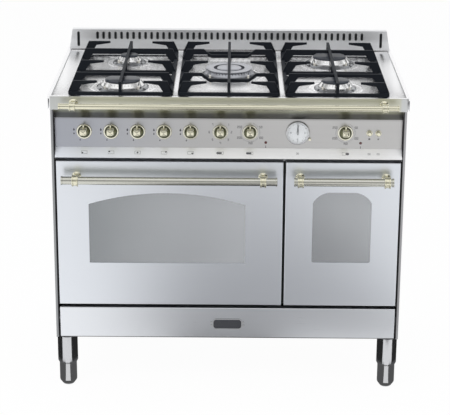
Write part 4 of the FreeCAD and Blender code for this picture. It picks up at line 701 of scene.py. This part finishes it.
def lathe(profile, spot, axis="z", segments=64, hollow=False, wobble=None):
    """A profile of (radius, height) turned about an axis: x = r cos t, y = r sin t, z = h.

    A solid profile starts and ends on the axis; a hollow one is a closed loop.
    """
    profile = np.asarray(profile, float)
    t = np.linspace(0, 2 * math.pi, segments, endpoint=False)
    radius = np.repeat(profile[:, :1], segments, 1)
    height = np.repeat(profile[:, 1:2], segments, 1)
    if wobble is not None:
        radius = wobble(radius, height, t[None])
    points = np.stack([radius * np.cos(t), radius * np.sin(t), height], -1)
    return grid(stand(points, spot, axis), hollow)


DOME_SHARES = (0.85, 0.65, 0.4, 0.15)


def slab(outline, bottom, top, edge, spot, steps=1, axis="-y", crown=0.0):
    """A block over a convex outline, its two rims rounded by a quarter circle of radius edge.

    With a crown, the top rises by crown * (1 - s * s), s being the share of the way to the rim.
    """
    loop = np.asarray(outline, float)
    way = unit(unit(np.roll(loop, -1, 0) - loop) + unit(loop - np.roll(loop, 1, 0)))
    outward = np.stack([way[:, 1], -way[:, 0]], 1)
    t = np.linspace(0, math.pi / 2, steps + 1)
    lower, upper = edge * (1 - np.sin(t)), edge * (1 - np.cos(t))
    inset = np.concatenate([[edge * 1.4], lower, [0, 0], upper, [edge * 1.4]])
    waist = [bottom + edge * 1.3, top - edge * 1.3]
    rise = np.concatenate([[bottom], bottom + upper, waist, top - lower, [top]])
    rings = loop[None] - outward[None] * inset[:, None, None]
    centre = loop.mean(0)[None, None]
    share = np.array(DOME_SHARES if crown else [])
    dome = centre + (rings[-1:] - centre) * share[:, None, None]
    flat = np.repeat(centre, len(loop), 1)
    rings = np.concatenate([flat, rings, dome, flat])
    heights = np.concatenate([[bottom], rise, top + crown * (1 - share ** 2), [top + crown]])
    heights = heights[:, None, None] * np.ones((1, len(loop), 1))
    return grid(stand(np.concatenate([rings, heights], -1), spot, axis))


def hang(name, mesh, finish, node, sharp, stands_in=True):
    """Smooth a mesh up to an angle and hang it on a node's body, mostly in the node's stead."""
    mesh.polygons.foreach_set("use_smooth", np.ones(len(mesh.polygons), bool))
    mesh.set_sharp_from_angle(angle=math.radians(sharp))
    item = new_object(name, mesh, finish)
    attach(item, body_of[node])
    if stands_in:
        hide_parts(node)
    return item


def solid(name, patches, finish, node, stands_in=True):
    """One object from several closed patches."""
    starts = np.cumsum([0] + [len(points) for points, _ in patches])
    mesh = bpy.data.meshes.new(name)
    mesh.from_pydata(np.vstack([points for points, _ in patches]), [],
                     np.vstack([faces + start for (_, faces), start in zip(patches, starts)]).tolist())
    work = bmesh.new()
    work.from_mesh(mesh)
    bmesh.ops.remove_doubles(work, verts=work.verts, dist=2e-6)
    bmesh.ops.dissolve_degenerate(work, edges=work.edges, dist=1e-7)
    bmesh.ops.recalc_face_normals(work, faces=work.faces)
    work.to_mesh(mesh)
    work.free()
    return hang(name, mesh, finish, node, 38, stands_in)

# %% [markdown]
# ## Rail and handles
#
# The rail and the handle bars are turned tube. Each end has a slightly thicker cap, and each
# bracket is a collar with two raised lips, a short post and a round rose on the face behind.

# %% Bars and brackets
CAP_LENGTH = 5 * MM
CAP_RISE = 1.2 * MM
POST_RADIUS = 7 * MM
ROSE_RADIUS = 13 * MM
ROSE_DEPTH = 5 * MM
COLLAR_LENGTH = 17 * MM
COLLAR_LIP = 4 * MM
LIP_RISE = 2 * MM
RAIL_RADIUS = 8.3 * MM
RAIL_BRACKET_X = 428 * MM


def bar_patch(node, axis_y, axis_z, radius):
    """A round bar as long as its node, with a domed, slightly thicker cap at each end."""
    thick = radius + CAP_RISE
    half = [(0, 0), (thick * 0.6, 0.3 * MM), (thick, 1.0 * MM, 0.8 * MM), (thick, CAP_LENGTH, 0.6 * MM),
            (radius, CAP_LENGTH + 0.6 * MM, 0.4 * MM)]
    length = high(node)[0] - low(node)[0]
    other = [(r, length - h, *rest) for r, h, *rest in half[::-1]]
    return lathe(soften(half + other), (low(node)[0], axis_y, axis_z), "x", 64)


def bracket_patches(x, axis_y, axis_z, face_y, radius, wall):
    """Collar with two lips round the bar, a waisted post and a rose."""
    bore = radius + 0.05 * MM
    outer = radius + wall
    lip = outer + LIP_RISE
    end, inner = COLLAR_LENGTH / 2, COLLAR_LENGTH / 2 - COLLAR_LIP
    collar = soften([(bore, -end), (lip, -end, 1.2 * MM), (lip, -inner, 1.2 * MM), (outer, -inner, 0.6 * MM),
                     (outer, inner, 0.6 * MM), (lip, inner, 1.2 * MM), (lip, end, 1.2 * MM), (bore, end)])
    start = axis_y + radius + wall / 2
    post_length = face_y - start - ROSE_DEPTH
    post = soften([(0, 0), (POST_RADIUS, 0), (POST_RADIUS * 0.78, post_length * 0.45, 6 * MM),
                   (POST_RADIUS, post_length), (0, post_length)])
    rose = soften([(0, 0), (POST_RADIUS + 1 * MM, 0, 0.8 * MM), (ROSE_RADIUS, ROSE_DEPTH * 0.55, 1.5 * MM),
                   (ROSE_RADIUS, ROSE_DEPTH, 0.3 * MM), (0, ROSE_DEPTH)])
    return [lathe(collar, (x, axis_y, axis_z), "x", 48, hollow=True),
            lathe(post, (x, start, axis_z), "y", 32),
            lathe(rose, (x, face_y - ROSE_DEPTH, axis_z), "y", 48)]


def handle(oven):
    """Bar and brackets of one door; a bracket's axis lies one rose radius inside its box."""
    bar, bracket = "handle_bar_" + oven, "handle_brackets_" + oven
    radius = half_size(bar, 2) - CAP_RISE
    wall = half_size(bracket, 2) - LIP_RISE - radius
    _, axis_y, axis_z = middle(bar)
    solid(oven + "_handle_bar", [bar_patch(bar, axis_y, axis_z, radius)], brass_pale, bar)
    patches = []
    for x in (low(bracket)[0] + ROSE_RADIUS, high(bracket)[0] - ROSE_RADIUS):
        patches += bracket_patches(x, axis_y, axis_z, door_y, radius, wall)
    solid(oven + "_handle_brackets", patches, brass, bracket)


handle("main")
handle("small")

rail_collar = half_size("hob_rail", 2)
rail_wall = rail_collar - LIP_RISE - RAIL_RADIUS
rail_y = low("hob_rail")[1] + rail_collar
rail_z = middle("hob_rail")[2]
rail_patches = [bar_patch("hob_rail", rail_y, rail_z, RAIL_RADIUS)]
for x in (-RAIL_BRACKET_X, RAIL_BRACKET_X):
    rail_patches += bracket_patches(x, rail_y, rail_z, fascia_y, RAIL_RADIUS, rail_wall)
solid("gallery_rail", rail_patches, brass, "hob_rail")
print("rail axis", round(rail_y, 4), round(rail_z, 4), "collar wall", round(rail_wall * 1000, 2))

# %% [markdown]
# ## Knobs
#
# Each knob is a turned skirt of rougher brass painted dark as shade in its recess, a polished
# block to hold and a short nose that points. Block and nose are prisms with a rolled rim, and
# the block's face is domed, so a dark line runs where its top turns to the front.

# %% Knobs
SKIRT_RADIUS = 17 * MM
SKIRT_DEPTH = 9 * MM
SKIRT_TOP_RADIUS = 12 * MM
SKIRT_SEAT = SKIRT_DEPTH + 3 * MM
GRIP_HALF = 9.8 * MM
GRIP_LOW = -2.5 * MM
GRIP_HIGH = 14 * MM
GRIP_ROUND = 4.5 * MM
GRIP_CROWN = 2 * MM
NOSE_HALF = 2.6 * MM
NOSE_TIP_HALF = 1.9 * MM
NOSE_REACH = 24 * MM
NOSE_DEPTH = 24 * MM
KNOB_REACH = 42 * MM
KNOB_GAP = 0.6 * MM


def on_panel(node):
    """Where a control's axis meets the panel."""
    return (middle(node)[0], panel_y, knob_z)


skirt = soften([(0, KNOB_GAP), (SKIRT_RADIUS, KNOB_GAP, 0.5 * MM),
                (SKIRT_RADIUS, SKIRT_DEPTH * 2 / 3, 2.2 * MM),
                (SKIRT_TOP_RADIUS, SKIRT_SEAT, 2 * MM), (0, SKIRT_SEAT)])
grip_corners = rectangle((-GRIP_HALF, GRIP_HALF), (GRIP_LOW, GRIP_HIGH))
block = soften([(*corner, GRIP_ROUND) for corner in grip_corners], closed=True, steps=6)
nose = soften([(-NOSE_HALF, 0), (NOSE_HALF, 0), (NOSE_TIP_HALF, NOSE_REACH, 1.4 * MM),
               (-NOSE_TIP_HALF, NOSE_REACH, 1.4 * MM)], closed=True)
knob_nodes = sorted(node for node in body_of if node.startswith("knob_") and node != "knob_bezels")
for node in knob_nodes:
    spot = on_panel(node)
    grip = [slab(block, SKIRT_SEAT - 3 * MM, KNOB_REACH - GRIP_CROWN, 1.8 * MM, spot, 5, crown=GRIP_CROWN),
            slab(nose, SKIRT_DEPTH * 2 / 3, NOSE_DEPTH, 1.2 * MM, spot, 4)]
    # The skirt: painted shade in the recess round the grip.
    solid(node + "_skirt", [lathe(skirt, spot, "-y", 64)], brass_painted_shade, node)
    solid(node + "_grip", grip, brass, node)
print("knobs", len(knob_nodes))

# %% Bezels, collars and buttons
BEZEL_RADIUS = 22 * MM
BEZEL_BORE = 17.8 * MM
BEZEL_DEPTH = 4 * MM
COLLAR_BORE = 6.8 * MM
BUTTON_COLLAR = 9 * MM
BUTTON_COLLAR_DEPTH = 3 * MM
BUTTON_RADIUS = 6.5 * MM
BUTTON_HEIGHT = 13 * MM
STEM_RADIUS = 3.2 * MM
bezel = soften([(BEZEL_BORE, 0), (BEZEL_RADIUS, 0), (BEZEL_RADIUS, BEZEL_DEPTH * 0.45, 1 * MM),
                (BEZEL_RADIUS - 1.4 * MM, BEZEL_DEPTH, 0.8 * MM), (BEZEL_BORE, BEZEL_DEPTH, 0.5 * MM)])
collar = soften([(COLLAR_BORE, 0), (BUTTON_COLLAR, 0), (BUTTON_COLLAR, BUTTON_COLLAR_DEPTH, 1 * MM),
                 (COLLAR_BORE, BUTTON_COLLAR_DEPTH, 0.4 * MM)])
button_nodes = ["push_button_lamp", "push_button_spark"]
bezel_patches = [lathe(bezel, on_panel(node), "-y", 64, hollow=True) for node in knob_nodes]
bezel_patches += [lathe(collar, on_panel(node), "-y", 40, hollow=True) for node in button_nodes]
solid("control_bezels", bezel_patches, brass_ring, "knob_bezels")
button_back = high("push_button_lamp")[1] - panel_y
button = soften([(0, -button_back), (STEM_RADIUS, -button_back), (STEM_RADIUS, -3.3 * MM),
                 (8 * MM, -3.3 * MM), (8 * MM, -1.8 * MM), (BUTTON_RADIUS, -1.8 * MM),
                 (BUTTON_RADIUS, BUTTON_HEIGHT, 2.4 * MM), (0, BUTTON_HEIGHT)], steps=6)
for node in button_nodes:
    solid(node + "_turned", [lathe(button, on_panel(node), "-y", 40)], brass, node)

# %% [markdown]
# ## Burners
#
# A burner is a cup pressed into the hob, a crown with flame ports and an enamelled cap. The
# ports are cut by pulling the crown's upper edge inwards wherever a port falls on its circle.
# The big burner has a second, inner crown and a ring-shaped cap.

# %% Burner shapes
PAN_DROP = 6 * MM
CUP_HEIGHT = 5 * MM
CUP_BORE = 21 * MM
CROWN_HEIGHT = 15 * MM
CROWN_BASE = 4 * MM
CROWN_TAPER = 9 * MM
CROWN_RIM = 6 * MM
PORT_WIDTH = 1.6 * MM
PORT_HEIGHT = 6 * MM
PORT_DEPTH = 3.5 * MM
CAP_HEIGHT = 6 * MM
CAP_EDGE = 3 * MM
RING_BORE = 45 * MM
INNER_CROWN = 37 * MM
INNER_CAP = 36 * MM
INNER_PORTS = 20
pan_z = hob_z - PAN_DROP
cup_z = pan_z + CUP_HEIGHT
burners = {                     # cap radius, cup radius, flame ports
    "burner_centre": (68 * MM, 82 * MM, 44),
    "burner_front_left": (50 * MM, 73.5 * MM, 36),
    "burner_front_right": (40 * MM, 60 * MM, 28),
    "burner_rear_left": (28 * MM, 49.5 * MM, 20),
    "burner_rear_right": (50 * MM, 73.5 * MM, 36),
}


def crown_patch(spot, radius, ports):
    """Crown ring: upright foot, sides leaning in, and ports notched in the upper edge."""
    shoulder = radius - CROWN_TAPER
    port_low = CROWN_HEIGHT - PORT_HEIGHT
    lean = CROWN_TAPER / (CROWN_HEIGHT - CROWN_BASE)
    at_port = radius - lean * (port_low - CROWN_BASE)
    lower = soften([(CUP_BORE, 0), (radius, 0, 0.6 * MM), (radius, CROWN_BASE, 1.2 * MM),
                    (at_port, port_low - 0.05 * MM)])
    upper = [(at_port, port_low), (shoulder + 0.5 * MM, CROWN_HEIGHT - 0.6 * MM), (shoulder, CROWN_HEIGHT),
             (shoulder - CROWN_RIM, CROWN_HEIGHT), (shoulder - CROWN_RIM, CROWN_BASE),
             (CUP_BORE, CROWN_BASE)]

    def notch(r, height, t):
        """Less radius by the port's depth, within half a port's width of each port's angle."""
        turn = (t * ports / (2 * math.pi) + 0.5) % 1 - 0.5
        inside = np.abs(turn) * 2 * math.pi * shoulder / ports < PORT_WIDTH / 2
        cut = (height >= port_low) & (r > shoulder - CROWN_RIM / 2)
        return r - PORT_DEPTH * (inside & cut)

    return lathe(np.vstack([lower, upper]), spot, segments=ports * 16, hollow=True, wobble=notch)


def cap_patch(spot, radius):
    """A flat cap with a rolled edge and a low dome."""
    inner = np.linspace(radius - CAP_EDGE, 0, 10)
    dome = CAP_HEIGHT - (CAP_HEIGHT - CAP_EDGE * 1.5) * (inner / (radius - CAP_EDGE)) ** 2
    rim = soften([(0, 0), (radius - 0.8 * MM, 0), (radius, 1 * MM, 0.6 * MM), (radius, 2.2 * MM, 1.2 * MM),
                  (radius - CAP_EDGE, CAP_EDGE * 1.5)])
    return lathe(np.vstack([rim, np.stack([inner[1:], dome[1:]], 1)]), spot, segments=96)


for node, (cap, _, ports) in burners.items():
    x, y, _ = middle(node)
    foot, top = (x, y, cup_z), (x, y, cup_z + CROWN_HEIGHT)
    crowns = [crown_patch(foot, half_size(node, 0), ports)]
    if node == "burner_centre":
        ring = soften([(RING_BORE, 0), (cap, 0, 0.8 * MM), (cap, CAP_EDGE, 1.2 * MM),
                       (cap - 8 * MM, CAP_EDGE * 1.25, 4 * MM), (RING_BORE, CAP_EDGE, 1 * MM)])
        crowns += [crown_patch(foot, INNER_CROWN + CROWN_TAPER / 3, INNER_PORTS),
                   lathe(ring, top, segments=128, hollow=True), cap_patch(top, INNER_CAP)]
        solid(node + "_plates", crowns, wok_metal, node)
    else:
        solid(node + "_crown", crowns, burner_metal, node)
        solid(node + "_cap", [cap_patch(top, cap)], cap_enamel, node)

# %% Cups, spark and flame probes
PROBE_GAP = 5 * MM
PROBE_HEIGHT = 17 * MM
PROBE_BODY = 9 * MM
PROBE_ANGLES = (225, 315)
PIN_RADIUS = 1.2 * MM
pin = soften([(0, PROBE_BODY - 1 * MM), (PIN_RADIUS, PROBE_BODY - 1 * MM),
              (PIN_RADIUS, PROBE_HEIGHT, 0.6 * MM), (0, PROBE_HEIGHT)])
tip = soften([(0, 0), (3 * MM, 0), (3 * MM, PROBE_BODY - 2 * MM, 0.8 * MM),
              (1.9 * MM, PROBE_BODY, 0.6 * MM), (0, PROBE_BODY)])
cup_low = low("burner_cups")[2] - cup_z
cup_patches, tip_patches = [], []
for node, (_, wide, _) in burners.items():
    x, y, _ = middle(node)
    cup = soften([(CUP_BORE, cup_low), (26 * MM, cup_low), (26 * MM, -CUP_HEIGHT),
                  (wide, -CUP_HEIGHT), (wide, -CUP_HEIGHT + 2.2 * MM, 1.4 * MM),
                  (wide - 4 * MM, 0, 1.4 * MM), (CUP_BORE, 0)])
    cup_patches.append(lathe(cup, (x, y, cup_z), segments=96, hollow=True))
    reach = half_size(node, 0) + PROBE_GAP
    for spot in circle((x, y), reach, np.radians(PROBE_ANGLES)):
        cup_patches.append(lathe(pin, (*spot, cup_z), segments=16))
        tip_patches.append(lathe(tip, (*spot, cup_z), segments=24))
solid("burner_cups_pressed", cup_patches, cup_metal, "burner_cups")
solid("probe_ceramics", tip_patches, ceramic, "burner_cups")

# %% Pressed beads in the hob round each burner
BEAD_GAP = 9 * MM
BEAD_WIDTH = 12 * MM
BEAD_RISE = 0.7 * MM
BEAD_SINK = -0.4 * MM
bead_patches = []
for node, (_, wide, _) in burners.items():
    x, y, _ = middle(node)
    t = np.linspace(0, 1, 13)
    run = np.stack([wide + BEAD_GAP + BEAD_WIDTH * t, BEAD_RISE * np.sin(math.pi * t) ** 2], 1)
    loop = np.vstack([run, [[run[-1, 0], BEAD_SINK], [run[0, 0], BEAD_SINK]]])
    bead_patches.append(lathe(loop, (x, y, pan_z), segments=128, hollow=True))
solid("hob_beads", bead_patches, steel_hob, "hob_top", stands_in=False)
print("burners", len(burners))

# %% [markdown]
# ## Cast pan supports
#
# The supports keep their construction shape. Its edges are rounded by a bevel, because sand
# castings have no sharp edge, and the rounding is what shows the bars apart in the photograph.

# %% Rounded castings and sheet edges
def rounded_copy(node, finish, width):
    """A merged copy of a node's mesh whose sharp edges are bevelled."""
    mesh = frame["nodes"][node].data.copy()
    work = bmesh.new()
    work.from_mesh(mesh)
    bmesh.ops.remove_doubles(work, verts=work.verts, dist=1e-6)
    bmesh.ops.dissolve_limit(work, angle_limit=math.radians(0.5), verts=work.verts, edges=work.edges)
    work.to_mesh(mesh)
    work.free()
    bevel = hang(node + "_rounded", mesh, finish, node, 55).modifiers.new("edges", "BEVEL")
    bevel.width = width
    bevel.segments = 3
    bevel.limit_method = "ANGLE"
    bevel.angle_limit = math.radians(35)


for node in ("pan_support_left", "pan_support_centre", "pan_support_right"):
    rounded_copy(node, iron, 1.2 * MM)
rounded_copy("hob_top", steel_hob, 1.6 * MM)

# %% [markdown]
# ## Clock and lamps
#
# Prints are real, very thin solids lying on the panel: a flat print in the shader would need
# its own picture, and a thin solid keeps its sharp outline at any distance.

# %% Clock case and dial
CLOCK_RADIUS = 34 * MM
CLOCK_INNER = 31 * MM
CASE_WALL = 1.5 * MM
DIAL_DEPTH = 2 * MM
DIAL_EDGE = 27.3 * MM
HOUR_MARK, MINUTE_MARK = (3.4 * MM, 1.1 * MM), (1.5 * MM, 0.4 * MM)
PRINT_RISE = 0.12 * MM
PRINT_SINK = 0.05 * MM
PRINT_EDGE = 0.02 * MM
clock_x, _, clock_z = middle("clock_dial")
clock_front = panel_y - low("clock_case")[1]
clock_back = high("clock_case")[1] - panel_y
seat = CLOCK_INNER - CASE_WALL
case = soften([(0, -clock_back), (CLOCK_INNER, -clock_back, 2 * MM), (CLOCK_INNER, 0), (CLOCK_RADIUS, 0),
               (CLOCK_RADIUS, clock_front * 0.55, 1.6 * MM), (CLOCK_RADIUS - 2.2 * MM, clock_front, 1.2 * MM),
               (seat, clock_front, 0.5 * MM), (seat, -clock_back + CASE_WALL), (0, -clock_back + CASE_WALL)])
solid("clock_bezel", [lathe(case, (clock_x, panel_y, clock_z), "-y", 96)], chrome, "clock_case")


def slip(centre, angle, length, width):
    """Outline of a bar that lies along an angle, its middle at the centre given."""
    ahead = np.array([math.cos(angle), math.sin(angle)])
    across = np.array([-ahead[1], ahead[0]])
    return [centre + end * ahead * length / 2 + side * across * width / 2
            for end, side in ((-1, -1), (1, -1), (1, 1), (-1, 1))]


def ring_points(radius, angle):
    """A point on a circle, clock fashion: zero at the top, clockwise, in degrees."""
    return np.array([radius * math.sin(math.radians(angle)), radius * math.cos(math.radians(angle))])


def printed(name, outlines, spot, finish, node, axis="-y"):
    """Thin prints lying on a node's plane."""
    solid(name, [slab(outline, -PRINT_SINK, PRINT_RISE, PRINT_EDGE, spot, axis=axis) for outline in outlines],
          finish, node, stands_in=False)


dial_spot = (clock_x, panel_y - DIAL_DEPTH, clock_z)
dial_marks = []
for minute in range(60):
    length, width = MINUTE_MARK if minute % 5 else HOUR_MARK
    place = ring_points(DIAL_EDGE - length / 2, minute * 6)
    dial_marks.append(slip(place, math.radians(90 - minute * 6), length, width))
printed("dial_marks", dial_marks, dial_spot, hand_black, "clock_dial")

# %% Hands, setting knob and lamps
HUB_BORE, HUB_BLADE, HUB_RADIUS = 2.0 * MM, 2.3 * MM, 3 * MM
TAIL_REACH = -6 * MM
TAIL_WIDTH = 2 * MM
SETTER_HEIGHT = 9 * MM
SETTER_RADIUS = 3.5 * MM
LAMP_RADIUS = 4 * MM
LAMP_STEM = 3.2 * MM
for node, wide, tip in (("hour_hand", 5.0 * MM, 3.0 * MM), ("minute_hand", 2.6 * MM, 1.6 * MM)):
    rear = high(node)[1]
    thick, spot = rear - low(node)[1], (clock_x, rear, clock_z)
    patches = [lathe([(HUB_BORE, 0), (HUB_RADIUS, 0), (HUB_RADIUS, thick), (HUB_BORE, thick)], spot, "-y", 32,
                     hollow=True)]
    for first, last, start_wide, end_wide in ((HUB_BLADE, high(node)[2] - clock_z, wide, tip),
                                              (-HUB_BLADE, TAIL_REACH, TAIL_WIDTH, TAIL_WIDTH)):
        outline = [(-start_wide / 2, first), (start_wide / 2, first),
                   (end_wide / 2, last), (-end_wide / 2, last)]
        patches.append(slab(outline[::1 if last > first else -1], 0, thick, 0.1 * MM, spot))
    solid(node + "_blade", patches, hand_black, node)


def knurl(radius, height, t):
    """24 shallow ridges, a cosine round the setting knob's head alone."""
    return radius + 0.12 * MM * np.cos(24 * t) * ((radius > 3.3 * MM) & (height > 4.6 * MM))


setter = soften([(0, -11 * MM), (1.2 * MM, -11 * MM), (1.2 * MM, 4.5 * MM),
                 (SETTER_RADIUS, 4.5 * MM, 0.5 * MM), (SETTER_RADIUS, SETTER_HEIGHT - 0.4 * MM, 0.6 * MM),
                 (3.1 * MM, SETTER_HEIGHT, 0.2 * MM), (0, SETTER_HEIGHT)])
setter_x, _, setter_z = middle("clock_setting_knob")
solid("clock_setter_turned", [lathe(setter, (setter_x, panel_y, setter_z), "-y", 144, wobble=knurl)], brass,
      "clock_setting_knob")
lens = soften([(0, -14 * MM), (LAMP_STEM, -14 * MM), (LAMP_STEM, -0.1 * MM), (LAMP_RADIUS, -0.1 * MM),
               (LAMP_RADIUS, 0.7 * MM, 0.4 * MM), (2.6 * MM, 1.5 * MM, 1.2 * MM), (0, 1.6 * MM)])
lamp_x = [low("indicator_lamps")[0] + LAMP_RADIUS, high("indicator_lamps")[0] - LAMP_RADIUS]
lamp_z = middle("indicator_lamps")[2]
solid("lamp_lenses", [lathe(lens, (x, panel_y, lamp_z), "-y", 40) for x in lamp_x], lamp_red,
      "indicator_lamps")

# %% [markdown]
# ## Marks on the panel
#
# The printed marks say what each control does without a word: flames beside the burner knobs,
# plain numbers round the oven knobs, and a little plan of the hob or the two ovens on the lip.
# Numbers are built from straight strokes, like those of a plotter.

# %% Small shapes for printing
STROKE = 1.1 * MM
FIGURE_HEIGHT = 5.6 * MM
FIGURE_WIDTH = 2.8 * MM
FIGURE_PITCH = FIGURE_WIDTH + 2 * MM
STROKES_OF = "abcdef bc abged abgcd fgbc afgcd afgecd abc abcdefg abcdfg".split()
STROKE_ENDS = {"a": (-1, 1, 1, 1), "b": (1, 1, 1, 0), "c": (1, 0, 1, -1), "d": (-1, -1, 1, -1),
               "e": (-1, 0, -1, -1), "f": (-1, 1, -1, 0), "g": (-1, 0, 1, 0)}
HALF_FIGURE = np.array([FIGURE_WIDTH / 2, FIGURE_HEIGHT / 2])


def bar_outline(start, end, width):
    """A straight stroke between two points, with square ends half a width further out."""
    start, end = np.array([start, end])
    span = end - start
    return slip((start + end) / 2, math.atan2(span[1], span[0]), np.linalg.norm(span) + width, width)


def figure(number, centre, size=1.0):
    """Outlines of a whole number's strokes, its middle at the centre."""
    digits = str(number)
    outlines = []
    for place, digit in enumerate(digits):
        shift = np.array(centre) + ((place - (len(digits) - 1) / 2) * FIGURE_PITCH * size, 0)
        for letter in STROKES_OF[int(digit)]:
            ends = shift + np.reshape(STROKE_ENDS[letter], (2, 2)) * HALF_FIGURE * size
            outlines.append(bar_outline(*ends, STROKE * 0.8 * size))
    return outlines


def flame(centre, height):
    """A drop with its point up: a circle whose upper half is drawn out by (sine)^3."""
    up = np.clip(np.sin(ROUND), 0, 1)
    wide = np.cos(ROUND) * (1 - 0.45 * up ** 2)
    tall = np.sin(ROUND) + 1.2 * up ** 3
    return np.array(centre) + height / 3.2 * np.stack([wide, tall], 1)


def frame_bars(centre, width, height):
    """Four strokes round a rectangle."""
    x, z = centre
    corners = rectangle((x - width / 2, x + width / 2), (z - height / 2, z + height / 2))
    return [bar_outline(corners[i], corners[(i + 1) % 4], PLAN_STROKE) for i in range(4)]


# %% Marks round the knobs
MARK_RADIUS = 31 * MM
TICK_RADIUS = 27 * MM
TICK_WIDTH = 0.45 * MM
FLAME_X = 28.5 * MM
LOW_FLAME_ANGLE = 205
HOUR_FIGURE_RADIUS = 19.5 * MM
BUTTON_MARK_DROP = -17 * MM
LAMP_MARK_DROP = 9 * MM
marks = []
for node in knob_nodes:
    x = middle(node)[0]
    if node.startswith("knob_burner"):
        marks += [flame((x - FLAME_X, 4 * MM), 8 * MM), flame((x - FLAME_X, -7 * MM), 6 * MM),
                  flame(ring_points(28 * MM, LOW_FLAME_ANGLE) + (x, 0), 5.4 * MM)]
    elif node == "knob_oven_function":
        for step in range(1, 8):
            marks += figure(step, ring_points(MARK_RADIUS, step * 45) + (x, 0))
    else:
        for step in range(1, 6):
            spot = ring_points(MARK_RADIUS, step * 60)
            marks += figure(step * 50, (x + spot[0] * 1.1, spot[1]))
        for tick in range(4, 61):
            if tick % 12:
                length = (2.4 if tick % 2 else 3.4) * MM
                marks.append(slip(ring_points(TICK_RADIUS, tick * 5) + (x, 0), math.radians(90 - tick * 5),
                                  length, TICK_WIDTH))
for x in lamp_x:
    drop = lamp_z - knob_z - LAMP_MARK_DROP
    marks += [bar_outline((x, drop), (x, drop - 4 * MM), 1.1 * MM), circle((x, drop - 5 * MM), 1.5 * MM)]
lamp_mark_x, spark_mark_x = (middle(node)[0] for node in button_nodes)
for x, spokes, hub in ((lamp_mark_x, 4, 1.8 * MM), (spark_mark_x, 3, 0.9 * MM)):
    marks.append(circle((x, BUTTON_MARK_DROP), hub))
    for spoke in range(spokes):
        way = math.pi * (spoke + 0.5) / spokes
        marks.append(slip(np.array((x, BUTTON_MARK_DROP)), way, 7 * MM, 0.7 * MM))
hour_figures = []
for hour in (12, 3, 6, 9):
    hour_figures += figure(hour, ring_points(HOUR_FIGURE_RADIUS, hour * 30), 0.85)
printed("dial_figures", hour_figures, dial_spot, hand_black, "clock_dial")
printed("panel_marks", marks, (0, panel_y, knob_z), ink_grey, "control_panel")
print("marks on the panel", len(marks))

# %% Little plans on the lip
PLAN_STROKE = 0.6 * MM
PLAN_DOTS = [(-5 * MM, -1.5 * MM), (-5 * MM, 2.5 * MM), (0, 0), (5 * MM, 2.5 * MM), (5 * MM, -1.5 * MM)]
lip_low = low("control_panel")[2]
_, lip_y, lip_z = unit(np.array([0, panel_y - door_y, PANEL_LOW - lip_low]))
TURN["lip"] = np.array([[1, 0, 0], [0, lip_y, -lip_z], [0, lip_z, lip_y]])
lip_spot = (0, (panel_y + door_y) / 2, (PANEL_LOW + lip_low) / 2)
plans = []
for number, (dot_x, dot_z) in enumerate(PLAN_DOTS, 1):
    x = middle("knob_burner_%d" % number)[0]
    plans += frame_bars((x, 0), 16 * MM, 9 * MM)
    plans.append(circle((x + dot_x, dot_z), 2.3 * MM))
for node, in_small in (("knob_oven_function", False), ("knob_oven_heat", False), ("knob_small_oven", True)):
    x = middle(node)[0]
    big, little = (x - 3.5 * MM, 0), (x + 6 * MM, 0)
    filled, width = (little, 4 * MM) if in_small else (big, 9 * MM)
    plans += frame_bars(big, 10 * MM, 8 * MM) + frame_bars(little, 5 * MM, 8 * MM)
    plans.append(bar_outline((filled[0] - width / 2, 0), (filled[0] + width / 2, 0), 5 * MM))
for x in (clock_x, lamp_mark_x, spark_mark_x):
    plans += frame_bars((x, 0), 7 * MM, 5 * MM)
    plans.append(circle((x, 0), 1.2 * MM))
printed("lip_marks", plans, lip_spot, ink_grey, "control_panel", "lip")

# %% [markdown]
# ## Feet and sleeves
#
# Each leg is a polished sleeve over a foot with a rolled lower end. The rest of the chassis is
# galvanised, so one finish changes from zinc to polish below the underside of the case.

# %% Feet
FOOT_ROUND = 14 * MM
FOOT_BASE = 15 * MM
FOOT_SHOULDER = 130 * MM
STUD_RADIUS = 8 * MM
for node in foot_nodes:
    x, y, _ = middle(node)
    radius, stem_top = half_size(node, 0), high(node)[2]
    profile = soften([(0, 0), (FOOT_BASE, 0, 2 * MM), (radius, FOOT_ROUND, 9 * MM),
                      (radius, FOOT_SHOULDER, 1 * MM), (STUD_RADIUS, FOOT_SHOULDER),
                      (STUD_RADIUS, stem_top), (0, stem_top)], steps=8)
    solid(node + "_turned", [lathe(profile, (x, y, 0), segments=72)], steel_polished, node)
